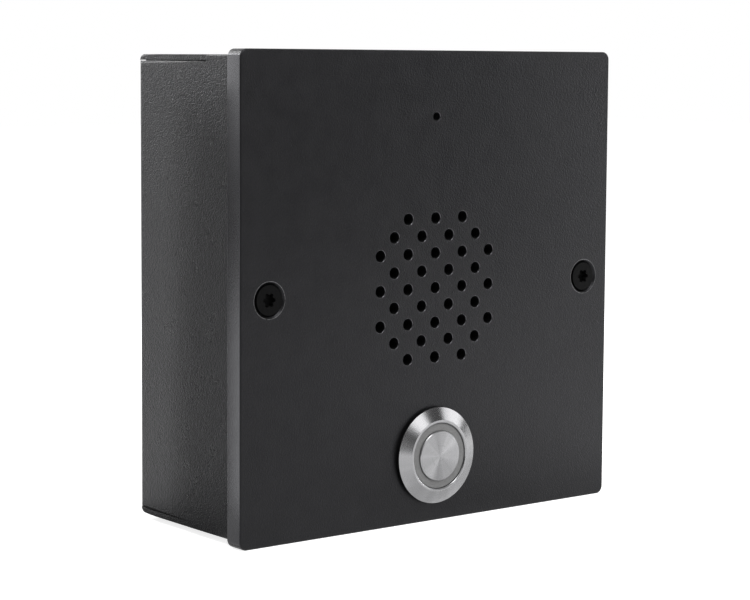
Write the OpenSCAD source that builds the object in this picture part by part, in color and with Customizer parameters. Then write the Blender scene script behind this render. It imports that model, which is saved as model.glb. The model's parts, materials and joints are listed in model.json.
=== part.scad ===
// Surface-mount audio intercom panel: a folded sheet-steel back box closed by a thick square
// faceplate that carries the loudspeaker, the microphone, the call button and the circuit board.
// Every piece is modelled lying on its back: x to the right, y up the panel, z out from the wall.
// stand_up() then turns it upright, with the front facing -Y and the wall plane at Y = 0.

/* [Faceplate] */
// Width and height of the square plate
plate_w = 127; // [115:0.5:150]
// Thickness of the plate
plate_t = 6; // [5:0.25:8]
// Radius of the plate's four corners
plate_corner_r = 2.2; // [1:0.1:4]
// Radius of the plate's rounded front edge
plate_edge_r = 0.5; // [0.2:0.1:0.9]
// How far the plate stands out past the box on each side
plate_overhang = 1.5; // [1:0.1:2.5]
// Broken edge round each drilled hole
hole_edge = 0.2; // [0.1:0.05:0.3]

/* [Back box] */
// Depth of the box from the wall to its rim
box_depth = 43.5; // [42:0.5:56]
// Thickness of the box sheet
sheet_t = 1.5; // [1:0.1:2]
// Inside radius of the bends along the rear edges
bend_inner_r = 0.5; // [0.3:0.1:1]
// Width of the open corner seams
seam_gap = 0.2; // [0.2:0.05:0.5]
// How far the top and bottom walls stand back from the side walls along the seams
seam_step = 0.4; // [0.1:0.1:0.8]
// Length of the upper corner welds, from the rim
weld_len = 10.5; // [8:0.5:20]
// Length of the lower corner welds, from the rim
low_weld_len = 19; // [8:0.5:24]
// Diameter of the wall screw holes
wall_hole_d = 5; // [4:0.25:6]
// Distance of the wall screw holes from the box's sides
wall_hole_edge = 14; // [11:0.5:18]
// Diameter of the cable entry in the back wall
entry_d = 22.2; // [18:0.2:26]
// Wall of the rubber bushing in the cable entry
bushing_wall = 3.1; // [2:0.1:5]
// Thickness of the bushing's inner flange
entry_flange_t = 2; // [1:0.25:3]

/* [Fixing] */
// Distance of each faceplate screw from the plate's side
screw_edge = 9; // [8:0.25:10]
// Diameter of the faceplate screws
screw_d = 4; // [3.5:0.1:4.5]
// Length of the faceplate screws
screw_len = 14; // [12:0.5:16]
// Diameter of the screw heads
screw_head_d = 7.9; // [7.4:0.1:8.2]
// Diameter of the countersinks at the front face
sink_d = 9.6; // [9.1:0.1:10]
// Depth of the screw heads' tops under the front face
screw_sunk = 0.1; // [0.05:0.05:0.3]
// Size of the six-lobe recess, across its lobes
lobe_d = 3.9; // [3.5:0.1:4.2]
// Depth of the six-lobe recess
lobe_depth = 1.6; // [1:0.1:2]
// Length of each bracket's ear, from the side wall
ear_len = 12; // [11:0.5:13]
// Width of the brackets
bracket_w = 18; // [14:0.5:24]
// Depth of each bracket's leg along the side wall
bracket_leg = 14; // [10:0.5:18]
// Thickness of the bracket sheet
bracket_t = 1.5; // [1.2:0.1:2]
// Wall of the rivet nuts
rivet_wall = 1; // [0.7:0.05:1.3]
// Width of the rivet nuts' flange
rivet_rim = 1.5; // [1:0.1:2]
// Thickness of the rivet nuts' flange
rivet_flange_t = 0.7; // [0.5:0.1:0.8]
// Length of the rivet nuts behind the flange
rivet_len = 9; // [7:0.5:10]
// Thickness of the foam gasket under the plate
gasket_t = 1; // [1:0.1:2]
// Width of the foam gasket
gasket_w = 4; // [3:0.25:5]
// Distance of the gasket's outer edge inside the box's outside
gasket_inset = 0.7; // [0.4:0.1:1.2]

/* [Grille and microphone] */
// Step of the staggered grid, from one column to the next
grille_step = 4.69; // [4.4:0.01:4.8]
// Diameter of the grille holes
grille_hole_d = 3.1; // [2.6:0.1:3.4]
// Steps from the centre to the outermost column
grille_reach = 4; // [3:1:4]
// Distance of the microphone from the plate's upper edge
mic_edge = 17.6; // [15:0.1:20]
// Diameter of the microphone hole
mic_hole_d = 2.35; // [1.8:0.05:3]
// Diameter of the microphone capsule
mic_d = 9.7; // [9:0.1:10.5]
// Length of the microphone capsule
mic_len = 6; // [5:0.25:6.5]
// Wall of the rubber boot
boot_wall = 1.1; // [0.9:0.1:1.5]
// Depth of the boot's pocket in the plate's back
mic_pocket = 3.2; // [2:0.1:3.6]

/* [Loudspeaker] */
// Diameter of the speaker's flange
speaker_d = 52; // [48:0.5:57]
// Width of the speaker's flange
flange_w = 3.2; // [2.8:0.1:3.6]
// Thickness of the basket sheet
basket_t = 0.8; // [0.6:0.1:1]
// Depth from the flange to the spider's ledge
ledge_depth = 5.6; // [5.2:0.1:6.4]
// Width of the spider's ledge
ledge_w = 2.8; // [2.4:0.1:3.2]
// Depth from the flange to the magnet's seat
seat_depth = 9; // [8.6:0.1:10]
// Width of the basket's windows
window_w = 13; // [10:0.5:15]
// Thickness of the acoustic cloth
cloth_t = 0.4; // [0.3:0.1:0.6]
// Thickness of the speaker's foam gasket
speaker_gasket_t = 2.5; // [2.2:0.1:3]
// Thickness of the surround
surround_t = 0.3; // [0.2:0.05:0.4]
// Width of the surround's roll
roll_w = 2.8; // [2.4:0.1:3.2]
// Thickness of the cone
paper_t = 0.4; // [0.3:0.05:0.5]
// Depth of the cone from its lip to its neck
cone_depth = 4.2; // [3.8:0.1:4.4]
// Width of the cone's flat lip
cone_lip = 1.2; // [0.9:0.1:1.5]
// Diameter of the pole
pole_d = 12.4; // [11.5:0.1:13]
// Width of the air gap round the pole
air_gap = 1.2; // [1.2:0.05:1.5]
// Thickness of the coil's former
former_t = 0.15; // [0.1:0.05:0.2]
// Thickness of the coil's winding
coil_t = 0.35; // [0.25:0.05:0.4]
// Height of the coil's winding
coil_h = 3; // [2.5:0.1:3.5]
// Diameter of the front washer
washer_d = 25; // [23:0.5:26]
// Width of the basket's seat outside the front washer
seat_margin = 2.3; // [1.8:0.1:2.8]
// Thickness of the front washer
washer_t = 2; // [1.5:0.1:2.5]
// Diameter of the ring magnet
magnet_d = 32; // [28:0.5:36]
// Thickness of the ring magnet
magnet_t = 6; // [5:0.25:7]
// Diameter of the yoke
yoke_d = 28; // [26:0.5:31]
// Thickness of the yoke's plate
yoke_t = 2; // [1.5:0.1:2.5]

/* [Speaker clamps and board] */
// Distance of the studs from the speaker's edge
stud_gap = 3; // [2.6:0.1:5]
// Diameter of the studs and of the board screws
stud_d = 3; // [2.8:0.1:3.2]
// Depth of the studs' holes in the plate
stud_socket = 3; // [2.5:0.1:3.5]
// Width of the clips
clip_w = 8; // [7:0.5:9]
// Thickness of the clips
clip_t = 1; // [0.8:0.1:1.2]
// Width of the small nuts across their flats
nut_af = 5.5; // [5:0.1:6]
// Thickness of the small nuts
nut_t = 2.4; // [2:0.1:2.6]
// Space between the back wall and the circuit board
board_gap = 11.4; // [10.4:0.1:14]
// Width of the standoffs across their flats
standoff_af = 5.5; // [5:0.1:6]
// Width of the circuit board
board_w = 84; // [78:0.5:92]
// Height of the circuit board
board_h = 80; // [74:0.5:86]
// Height of the circuit board's centre above the panel's centre
board_y = 10; // [9.5:0.25:11]
// Distance of the standoffs from the board's edges
standoff_edge = 5; // [4.5:0.25:6]
// Thickness of the circuit board
board_t = 1.6; // [1.2:0.1:2]

/* [Call button] */
// Width of gasket left below the button's washer
button_margin = 2.2; // [0.9:0.1:4]
// Width of the bezel's flange outside the barrel
bezel_rim = 2.1; // [1.8:0.1:3]
// Width of the flat ring on top of the bezel
face_w = 0.85; // [0.5:0.05:1.2]
// Height of the bezel above the plate
bezel_h = 2.6; // [2.2:0.1:3]
// Height of the flange's upright edge
bezel_land = 0.35; // [0.2:0.05:0.5]
// Thickness of the rubber seal under the flange
seal_t = 0.8; // [0.5:0.05:1]
// Diameter of the threaded barrel
barrel_d = 21.9; // [20:0.1:24]
// Step from the barrel's outside in to the light ring's bore
bezel_step = 2.05; // [1.9:0.05:2.4]
// Depth of the barrel's end behind the plate's front
barrel_len = 22; // [20:0.5:24]
// Wall of the barrel
barrel_wall = 0.95; // [0.8:0.05:1.05]
// Depth of the flat along the barrel
barrel_flat = 0.6; // [0.4:0.05:0.7]
// Width of the light ring round the cap
ring_w = 2; // [1.6:0.1:2.6]
// Wall of the light ring's skirt
skirt_wall = 1.8; // [1.4:0.1:2.2]
// Thickness of the cap
cap_t = 1.6; // [1.2:0.1:2]
// Height of the cap above the light ring
cap_rise = 0.5; // [0.3:0.05:0.7]
// Broken edge of the cap
cap_edge = 0.2; // [0.1:0.05:0.3]
// Depth of the light ring below the bezel's face
ring_drop = 0.4; // [0.2:0.05:0.6]
// Travel of the button
button_travel = 2; // [1.5:0.1:2]
// Least width of the panel nut outside the barrel
panel_nut_rim = 2.55; // [2:0.05:2.8]
// Thickness of the panel nut
panel_nut_t = 3.5; // [3:0.1:4]
// Thickness of the lock washer
lock_washer_t = 1; // [0.8:0.05:1]
// Width of the lock washer outside the barrel
lock_washer_rim = 2.25; // [2:0.05:2.6]
// Turns of the return spring
spring_turns = 6; // [5:0.5:7]
// Wire of the return spring
spring_wire = 0.6; // [0.5:0.05:0.7]
// Mean diameter of the return spring
spring_d = 8.4; // [7.8:0.1:8.8]

/* [Clearances] */
// Radial clearance of pieces that slide on each other
slide_clear = 0.1; // [0.05:0.01:0.1]
// Radial clearance of pieces that are fitted and stay
seat_clear = 0.05; // [0.03:0.01:0.1]
// Clearance of bolts and barrels in their holes
bolt_clear = 0.25; // [0.15:0.05:0.4]
// Free gap between pieces that move past each other
free_gap = 0.3; // [0.3:0.05:0.5]
// Gap left between the contacts at full travel
contact_gap = 0.3; // [0.3:0.05:0.5]

/* [Hidden] */
$fn = 64;
eps = 0.01;
through = 1;

// Enclosure, measured from the wall
box_w = plate_w - 2 * plate_overhang;
box_half = box_w / 2;
inner_half = box_half - sheet_t;
bend_r = bend_inner_r + sheet_t;
weld_start = box_depth - weld_len;
low_weld_start = box_depth - low_weld_len;
plate_back = box_depth + gasket_t;
plate_front = plate_back + plate_t;
plate_half = plate_w / 2;
wall_hole_reach = box_half - wall_hole_edge;
entry_bore_d = entry_d - 2 * bushing_wall;
bushing_rim = 2.5;
screw_x = plate_half - screw_edge;
screw_hole_d = screw_d + 2 * bolt_clear;
rivet_d = screw_d + 2 * rivet_wall;
rivet_flange_d = rivet_d + 2 * rivet_rim;
mic_y = plate_half - mic_edge;
sink_depth = (sink_d - screw_hole_d) / 2;
screw_top = plate_front - screw_sunk;
screw_land = (sink_d - screw_head_d) / 2 - seat_clear * sqrt(2) - screw_sunk;

// Loudspeaker, measured down from the front of its flange
flange_top = plate_back - cloth_t - speaker_gasket_t - surround_t;
speaker_r = speaker_d / 2;
mouth_r = speaker_r - flange_w;
gap_r = pole_d / 2 + air_gap;
former_r = pole_d / 2 + (air_gap - former_t - coil_t) / 2;
former_out_r = former_r + former_t;
coil_r = former_out_r + coil_t;
neck_r = washer_d / 2 + seat_margin;
seat_back = seat_depth + basket_t;
magnet_top = seat_back + washer_t;
magnet_back = magnet_top + magnet_t;
yoke_back = magnet_back + yoke_t;
roll_clear = 0.4;
roll_out_r = mouth_r - roll_clear;
roll_in_r = roll_out_r - roll_w;
roll_r = (roll_out_r - roll_in_r) / 2;
cone_r = roll_in_r + surround_t / 2;
cone_neck_r = former_out_r + seat_clear;
former_tail = 0.2;
former_end = seat_back + washer_t / 2 + coil_h / 2 + former_tail;
dust_cap_lap = 0.7;
dust_cap_bulge = 1.55;
dust_cap_r = cone_neck_r + dust_cap_lap;
dust_cap_ball = dust_cap_r + dust_cap_bulge;
tab_w = 12;
tab_len = 6;
strip_t = 1;
strip_w = 10;
tag_w = 1.6;
tag_t = 0.4;
tag_len = 8;
tag_spread = 3;

// Clamps and circuit board
flange_back = flange_top - basket_t;
nut_front = flange_back - clip_t;
stud_tail = 1.5;
stud_end = nut_front - nut_t - stud_tail;
stud_reach = speaker_r + stud_gap;
clip_lap = 1.8;
clip_heel = 4;
clip_in_r = speaker_r - clip_lap;
clip_out_r = stud_reach + clip_heel;
board_back = sheet_t + board_gap;
board_front = board_back + board_t;
standoff_len = plate_back - board_front;
standoff_x = board_w / 2 - standoff_edge;
standoff_top = board_y + board_h / 2 - standoff_edge;
standoff_low = board_y - board_h / 2 + standoff_edge;
board_screw_len = 7;
board_screw_head_d = 5.5;
board_screw_head_t = 2;
block_pitch = 5.08;
block_ways = 6;
block_w = block_pitch * block_ways;
block_h = 9;
block_t = 9.4;
block_edge = 8;
block_y = board_y - board_h / 2 + block_edge;
block_well_d = 4;
header_t = 6;
header_h = 5;
pin_pitch = 2.54;
speaker_header_gap = 8.5;
speaker_header_x = speaker_r + speaker_header_gap;
mic_header_drop = 6;
mic_header_y = mic_y - mic_header_drop;
button_header_edge = 4.5;
button_header_y = board_y - board_h / 2 + button_header_edge;
lead_d = 1;

// Call button, measured up from the plate's front
barrel_r = barrel_d / 2;
barrel_in_r = barrel_r - barrel_wall;
bezel_r = barrel_r + bezel_rim;
bezel_bore_r = barrel_r - bezel_step;
bezel_face_r = bezel_bore_r + face_w;
lock_washer_r = barrel_r + lock_washer_rim;
washer_room = 2 * bolt_clear;
button_drop = box_half - gasket_inset - button_margin - lock_washer_r - washer_room;
panel_nut_af = 2 * (barrel_r + panel_nut_rim);
ring_r = bezel_bore_r - slide_clear;
cap_r = ring_r - ring_w;
skirt_r = ring_r - skirt_wall;
ring_top = bezel_h - ring_drop;
cap_top = ring_top + cap_rise;
cap_seat = cap_top - cap_t;
cap_stem_r = 1.5;
ring_floor = 2.1;
collar_top = -3.5;
collar_t = 1.5;
collar_bottom = collar_top - collar_t;
shoulder = collar_top + free_gap;
disc_top = cap_seat - ring_floor;
disc_t = 1.5;
disc_bottom = disc_top - disc_t;
rod_r = 2.2;
spring_room = 1.4;
chamber_wall = 2;
tip_r = 1.2;
lamp_board_t = 1;
lamp_space = 3.5;
base_top = collar_bottom - button_travel - lamp_space;
base_len = 16;
base_bottom = base_top - base_len;
well_depth = 2.5;
spring_seat = base_top - well_depth;
guide_len = 2.5;
chamber_top = spring_seat - guide_len;
chamber_h = 9;
chamber_bottom = chamber_top - chamber_h;
bridge_t = 0.6;
bridge_drop = 0.9;
bridge_top = chamber_top - bridge_drop;
bridge_bottom = bridge_top - bridge_t;
pad_top = bridge_bottom - button_travel - contact_gap;
pad_t = 0.8;
pad_w = 2.6;
pad_x = 4.3;
leg_t = 0.8;
leg_x = pad_x + pad_w / 2 - leg_t / 2;
leg_len = 6.5;
leg_end = base_bottom - leg_len;

// Shared shapes

module stand_up() {
  rotate([90, 0, 0]) children();
}

module at_speaker() {
  translate([0, 0, flange_top]) children();
}

module at_button() {
  translate([0, -button_drop, plate_front]) children();
}

module ring(outer_r, inner_r, bottom, top) {
  translate([0, 0, bottom]) difference() {
    cylinder(r = outer_r, h = top - bottom);
    translate([0, 0, -through]) cylinder(r = inner_r, h = top - bottom + 2 * through);
  }
}

module rounded_square(w, h, r) {
  square([w - 2 * r, h], center = true);
  square([w, h - 2 * r], center = true);
  for (sx = [-1, 1], sy = [-1, 1]) translate([sx * (w / 2 - r), sy * (h / 2 - r)]) circle(r);
}

module rounded_block(w, h, t, r) {
  linear_extrude(t) rounded_square(w, h, r);
}

module corner_block(a, b, r) {
  translate([r, 0]) square([a - r, b]);
  translate([0, r]) square([a, b - r]);
  translate([r, r]) circle(r);
}

// An angle of bent sheet, with its outer corner at the origin
module angle_profile(a, b, t, inner_r) {
  difference() {
    corner_block(a, b, inner_r + t);
    translate([t, t]) corner_block(a, b, inner_r);
  }
}

module hex_bar(af, t) {
  cylinder(r = af / sqrt(3), h = t, $fn = 6);
}

module on_square(reach) {
  for (a = [45 : 90 : 315]) rotate(a) translate([reach, 0, 0]) children();
}

module at_standoffs() {
  for (sx = [-1, 1], y = [standoff_low, standoff_top]) translate([sx * standoff_x, y, 0]) children();
}

module at_screws() {
  for (sx = [-1, 1]) translate([sx * screw_x, 0, 0]) children();
}

// Points of a smooth curve through the given points
function mix_points(p0, p1, p2, p3, t) =
  0.5 * (2 * p1 + (p2 - p0) * t + (2 * p0 - 5 * p1 + 4 * p2 - p3) * t * t
  + (3 * p1 - p0 - 3 * p2 + p3) * t * t * t);
function smooth_path(p, steps) = [
  for (i = [0 : len(p) - 2], k = [0 : steps - 1])
    mix_points(p[max(i - 1, 0)], p[i], p[i + 1], p[min(i + 2, len(p) - 1)], k / steps),
  p[len(p) - 1]
];

function unit(v) = v / norm(v);
function path_tangent(p, i) = unit(p[min(i + 1, len(p) - 1)] - p[max(i - 1, 0)]);

// A round tube along the path; side_axis is never along the path
module path_tube(path, r, sides, side_axis) {
  rings = len(path);
  points = [
    for (i = [0 : rings - 1])
      let (
        along = path_tangent(path, i),
        across = unit(cross(along, side_axis)),
        up = cross(across, along)
      )
      for (k = [0 : sides - 1])
        path[i] + r * (cos(360 * k / sides) * across + sin(360 * k / sides) * up)
  ];
  sides_faces = [
    for (i = [0 : rings - 2], k = [0 : sides - 1], half = [0, 1])
      let (
        a = i * sides + k,
        b = i * sides + (k + 1) % sides,
        c = (i + 1) * sides + (k + 1) % sides,
        d = (i + 1) * sides + k
      )
      half == 0 ? [a, b, c] : [a, c, d]
  ];
  start_face = [for (k = [1 : sides - 2]) [0, k + 1, k]];
  last = (rings - 1) * sides;
  end_face = [for (k = [1 : sides - 2]) [last, last + k, last + k + 1]];
  polyhedron(points, concat(sides_faces, start_face, end_face));
}

// Enclosure

module tray_profile(w, depth, r) {
  translate([-w / 2, r]) square([w, depth - r]);
  translate([-w / 2 + r, 0]) square([w - 2 * r, depth]);
  for (s = [-1, 1]) translate([s * (w / 2 - r), r]) circle(r);
}

module tray(w, depth, r) {
  rotate([90, 0, 0]) linear_extrude(w, center = true) tray_profile(w, depth, r);
}

module crossed_trays(w, depth, r) {
  intersection() {
    tray(w, depth, r);
    rotate(90) tray(w, depth, r);
  }
}

module seam_cut(sx, sy) {
  slit_y = inner_half - seam_gap / 2;
  slit_in = sheet_t + through;
  step_h = sheet_t + seam_gap + through;
  cut_h = (sy > 0 ? weld_start : low_weld_start) + through;
  translate([sx * (box_half - slit_in / 2 + through / 2), sy * slit_y, cut_h / 2 - through])
    cube([slit_in + through, seam_gap, cut_h], center = true);
  translate([
    sx * (box_half - seam_step / 2 + through / 2),
    sy * (inner_half - seam_gap + step_h / 2),
    cut_h / 2 - through
  ])
    cube([seam_step + through, step_h, cut_h], center = true);
}

module back_box() {
  color("#2b2b2c") difference() {
    union() {
      intersection() {
        crossed_trays(box_w, box_depth, bend_r);
        cube([2 * box_w, 2 * inner_half, 4 * box_depth], center = true);
      }
      intersection() {
        rotate(90) tray(box_w, box_depth, bend_r);
        for (sy = [-1, 1]) translate([0, sy * (inner_half + sheet_t / 2), box_depth / 2])
          cube([box_w, sheet_t, 2 * box_depth], center = true);
      }
    }
    translate([0, 0, sheet_t]) crossed_trays(2 * inner_half, box_depth, bend_inner_r);
    for (sx = [-1, 1], sy = [-1, 1]) seam_cut(sx, sy);
    for (sx = [-1, 1], sy = [-1, 1])
      translate([sx * wall_hole_reach, sy * wall_hole_reach, -through])
        cylinder(d = wall_hole_d, h = sheet_t + 2 * through);
    translate([0, 0, -through]) cylinder(d = entry_d, h = sheet_t + 2 * through);
  }
}

module fixing_brackets() {
  color("#8a8d90") for (sx = [-1, 1]) difference() {
    translate([sx * inner_half, 0, box_depth])
      rotate([-90, 0, sx > 0 ? 180 : 0])
        linear_extrude(bracket_w, center = true)
          angle_profile(ear_len, bracket_leg, bracket_t, bend_inner_r);
    translate([sx * screw_x, 0, box_depth - bracket_t - through])
      cylinder(d = rivet_d + 2 * seat_clear, h = bracket_t + 2 * through);
  }
}

module rivet_nuts() {
  color("#b9b7a8") at_screws() translate([0, 0, box_depth]) difference() {
    union() {
      translate([0, 0, -rivet_len]) cylinder(d = rivet_d, h = rivet_len);
      cylinder(d = rivet_flange_d, h = rivet_flange_t);
    }
    translate([0, 0, -rivet_len - through])
      cylinder(d = screw_d + 2 * seat_clear, h = rivet_len + rivet_flange_t + 2 * through);
  }
}

module cable_bushing() {
  color("#1c1c1c") difference() {
    union() {
      cylinder(d = entry_d - 2 * seat_clear, h = sheet_t + eps);
      translate([0, 0, sheet_t]) cylinder(d = entry_d + 2 * bushing_rim, h = entry_flange_t);
    }
    translate([0, 0, -through]) cylinder(d = entry_bore_d, h = sheet_t + entry_flange_t + 2 * through);
  }
}

module faceplate_gasket() {
  outer = box_w - 2 * gasket_inset;
  inner = outer - 2 * gasket_w;
  color("#202020") translate([0, 0, box_depth]) linear_extrude(gasket_t) difference() {
    rounded_square(outer, outer, bend_r);
    rounded_square(inner, inner, bend_inner_r);
    at_screws() circle(d = rivet_flange_d + 2 * washer_room);
    translate([0, -button_drop]) circle(lock_washer_r + washer_room);
  }
}

module edge_profile(w) {
  translate([-w / 2, 0]) square([w, plate_t - plate_edge_r]);
  translate([-w / 2 + plate_edge_r, 0]) square([w - 2 * plate_edge_r, plate_t]);
  for (s = [-1, 1]) translate([s * (w / 2 - plate_edge_r), plate_t - plate_edge_r]) circle(plate_edge_r);
}

module corner_profile() {
  square([plate_corner_r, plate_t - plate_edge_r]);
  square([plate_corner_r - plate_edge_r, plate_t]);
  intersection() {
    translate([plate_corner_r - plate_edge_r, plate_t - plate_edge_r]) circle(plate_edge_r);
    square([plate_corner_r, plate_t]);
  }
}

module plate_blank() {
  straight = plate_w - 2 * plate_corner_r;
  for (a = [0, 90]) rotate([90, 0, a]) linear_extrude(straight, center = true) edge_profile(plate_w);
  for (a = [0 : 90 : 270]) rotate(a) translate([straight / 2, straight / 2, 0])
    rotate_extrude(angle = 90) corner_profile();
}

// A drilled hole whose front edge is broken, cut down from the plate's front
module drilled_hole(d) {
  translate([0, 0, -plate_t - through]) cylinder(d = d, h = plate_t + 2 * through);
  translate([0, 0, -hole_edge]) cylinder(d1 = d, d2 = d + 2 * (hole_edge + eps), h = hole_edge + eps);
}

module countersunk_hole() {
  translate([0, 0, -plate_t - through]) cylinder(d = screw_hole_d, h = plate_t + 2 * through);
  translate([0, 0, -sink_depth])
    cylinder(d1 = screw_hole_d, d2 = sink_d + 2 * eps, h = sink_depth + eps);
}

module barrel_outline(r, flat) {
  intersection() {
    circle(r);
    translate([0, -flat]) square(2 * r, center = true);
  }
}

module faceplate() {
  color("#2f2f30") difference() {
    translate([0, 0, plate_back]) plate_blank();
    translate([0, 0, plate_front]) {
      for (i = [-grille_reach : grille_reach], j = [-grille_reach : grille_reach])
        if ((i + j) % 2 == 0 && i * i + j * j < (grille_reach + 1) * (grille_reach + 1))
          translate([i * grille_step, j * grille_step, 0]) drilled_hole(grille_hole_d);
      translate([0, mic_y, 0]) drilled_hole(mic_hole_d);
      at_screws() countersunk_hole();
      translate([0, -button_drop, -plate_t - through])
        linear_extrude(plate_t + 2 * through) barrel_outline(barrel_r + bolt_clear, barrel_flat);
    }
    translate([0, mic_y, plate_back - through])
      cylinder(d = mic_d + 2 * boot_wall + 4 * seat_clear, h = mic_pocket + through);
    on_square(stud_reach) translate([0, 0, plate_back - through])
      cylinder(d = stud_d + 2 * seat_clear, h = stud_socket + 2 * seat_clear + through);
    at_standoffs() translate([0, 0, plate_back - through])
      cylinder(d = stud_d + 2 * seat_clear, h = stud_socket + 2 * seat_clear + through);
  }
}

module six_lobes(d) {
  circle(d = d * 0.74);
  for (a = [0 : 60 : 300]) rotate(a) translate([d * 0.36, 0]) circle(d = d * 0.28);
}

module faceplate_screws() {
  head_h = (screw_head_d - screw_d) / 2;
  color("#181818") at_screws() translate([0, 0, screw_top]) difference() {
    rotate_extrude() polygon([
      [0, 0], [screw_head_d / 2, 0], [screw_head_d / 2, -screw_land], [screw_d / 2, -screw_land - head_h],
      [screw_d / 2, -screw_len], [0, -screw_len]
    ]);
    translate([0, 0, -lobe_depth]) linear_extrude(lobe_depth + through) six_lobes(lobe_d);
  }
}

// Loudspeaker

module speaker_turned(points) {
  at_speaker() rotate_extrude() polygon([for (p = points) [p[0], -p[1]]]);
}

module grille_cloth() {
  color("#101010") translate([0, 0, plate_back - cloth_t]) cylinder(r = speaker_r, h = cloth_t);
}

module speaker_gasket() {
  top = plate_back - cloth_t;
  color("#262626") ring(speaker_r - eps, roll_out_r + surround_t, top - speaker_gasket_t, top);
}

module speaker_frame() {
  window_reach = speaker_r + through;
  color("#3a3d40") union() {
    difference() {
      speaker_turned([
        [mouth_r, 0],
        [speaker_r, 0],
        [speaker_r, basket_t],
        [mouth_r + basket_t / 2, basket_t],
        [neck_r + ledge_w + basket_t / 2, ledge_depth + basket_t],
        [neck_r + basket_t, ledge_depth + basket_t],
        [neck_r + basket_t, seat_back],
        [gap_r + free_gap, seat_back],
        [gap_r + free_gap, seat_depth],
        [neck_r, seat_depth],
        [neck_r, ledge_depth],
        [neck_r + ledge_w, ledge_depth]
      ]);
      at_speaker() for (a = [45 : 90 : 315]) rotate(a)
        translate([neck_r + ledge_w, -window_w / 2, -ledge_depth + basket_t])
          cube([window_reach, window_w, ledge_depth - 3 * basket_t]);
    }
    at_speaker() translate([speaker_r - flange_w / 2, -tab_w / 2, -basket_t])
      cube([flange_w / 2 + tab_len, tab_w, basket_t]);
  }
}

module speaker_surround() {
  color("#1a1a1a") at_speaker() rotate_extrude() {
    translate([roll_in_r - cone_lip, 0]) square([cone_lip, surround_t]);
    translate([roll_out_r, 0]) square([speaker_r - roll_out_r - eps, surround_t]);
    intersection() {
      translate([roll_in_r + roll_r, 0]) difference() {
        circle(roll_r + surround_t / 2);
        circle(roll_r - surround_t / 2);
      }
      translate([roll_in_r - through, 0]) square([roll_w + 2 * through, roll_w]);
    }
  }
}

module speaker_cone() {
  color("#2c2a28") speaker_turned([
    [cone_neck_r, cone_depth],
    [cone_r - cone_lip, 0],
    [cone_r, 0],
    [cone_r, paper_t],
    [cone_r - cone_lip, paper_t],
    [cone_neck_r, cone_depth + paper_t]
  ]);
}

module dust_cap() {
  slope = cone_depth / (cone_r - cone_lip - cone_neck_r);
  rim = cone_depth - (dust_cap_r - cone_neck_r) * slope - seat_clear;
  centre = rim + sqrt(dust_cap_ball * dust_cap_ball - dust_cap_r * dust_cap_r);
  color("#222222") at_speaker() translate([0, 0, -rim]) rotate_extrude() intersection() {
    translate([0, rim - centre]) difference() {
      circle(dust_cap_ball);
      circle(dust_cap_ball - paper_t);
    }
    square([dust_cap_ball, dust_cap_ball]);
  }
}

module coil_former() {
  color("#b08d57") at_speaker()
    ring(former_out_r, former_r, -former_end, -cone_depth);
}

module voice_coil() {
  middle = seat_back + washer_t / 2;
  color("#b5651d") at_speaker()
    ring(coil_r, former_out_r + eps, -middle - coil_h / 2, -middle + coil_h / 2);
}

// The corrugated disc that centres the coil
module spider() {
  waves = 3;
  wave_h = 0.35;
  spider_t = 0.3;
  steps = 24;
  inner = former_out_r + seat_clear;
  outer = neck_r + ledge_w - 2 * seat_clear;
  flat = ledge_w;
  level = ledge_depth - spider_t;
  function wave(r) = r > outer - flat ? 0 : wave_h * sin(180 * 2 * waves * (outer - flat - r) / (outer - flat - inner));
  radii = [for (i = [0 : steps]) inner + (outer - inner) * i / steps];
  color("#c9b27c") speaker_turned(concat(
    [for (r = radii) [r, level - wave(r)]],
    [for (i = [steps : -1 : 0]) [radii[i], level + spider_t - wave(radii[i])]]
  ));
}

module front_washer() {
  color("#9a9da0") at_speaker() ring(washer_d / 2, gap_r, -magnet_top, -seat_back);
}

module ring_magnet() {
  color("#3b3b3d") at_speaker() ring(magnet_d / 2, gap_r + 1.1, -magnet_back, -magnet_top);
}

module pole_yoke() {
  pole_edge = 0.4;
  color("#9a9da0") speaker_turned([
    [0, seat_back],
    [pole_d / 2 - pole_edge, seat_back],
    [pole_d / 2, seat_back + pole_edge],
    [pole_d / 2, magnet_back],
    [yoke_d / 2, magnet_back],
    [yoke_d / 2, yoke_back],
    [0, yoke_back]
  ]);
}

module terminal_strip() {
  color("#7a4a24") at_speaker()
    translate([speaker_r + tab_len / 2 - 1, 0, -basket_t - strip_t])
      linear_extrude(strip_t) rounded_square(tab_len - 1, strip_w, 0.6);
}

module speaker_tags() {
  color("#c8a24a") at_speaker() for (sy = [-1, 1])
    translate([speaker_r + 1, sy * tag_spread - tag_w / 2, -basket_t - strip_t - tag_t])
      cube([tag_len, tag_w, tag_t]);
}

module speaker_studs() {
  color("#a7a9ab") on_square(stud_reach) translate([0, 0, stud_end])
    cylinder(d = stud_d, h = plate_back + stud_socket - stud_end);
}

module speaker_clips() {
  heel = plate_back - flange_back + clip_t;
  color("#a7a9ab") for (a = [45 : 90 : 315]) rotate(a) difference() {
    translate([clip_out_r, 0, nut_front]) rotate([90, 0, 180]) translate([0, 0, -clip_w / 2])
      linear_extrude(clip_w) angle_profile(clip_out_r - clip_in_r, heel, clip_t, bend_inner_r);
    translate([stud_reach, 0, nut_front - through])
      cylinder(d = stud_d + 2 * bolt_clear, h = clip_t + 2 * through);
  }
}

module speaker_nuts() {
  color("#b4b6b8") on_square(stud_reach) translate([0, 0, nut_front - nut_t]) difference() {
    hex_bar(nut_af, nut_t);
    translate([0, 0, -through]) cylinder(d = stud_d + 2 * seat_clear, h = nut_t + 2 * through);
  }
}

// Microphone

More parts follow.
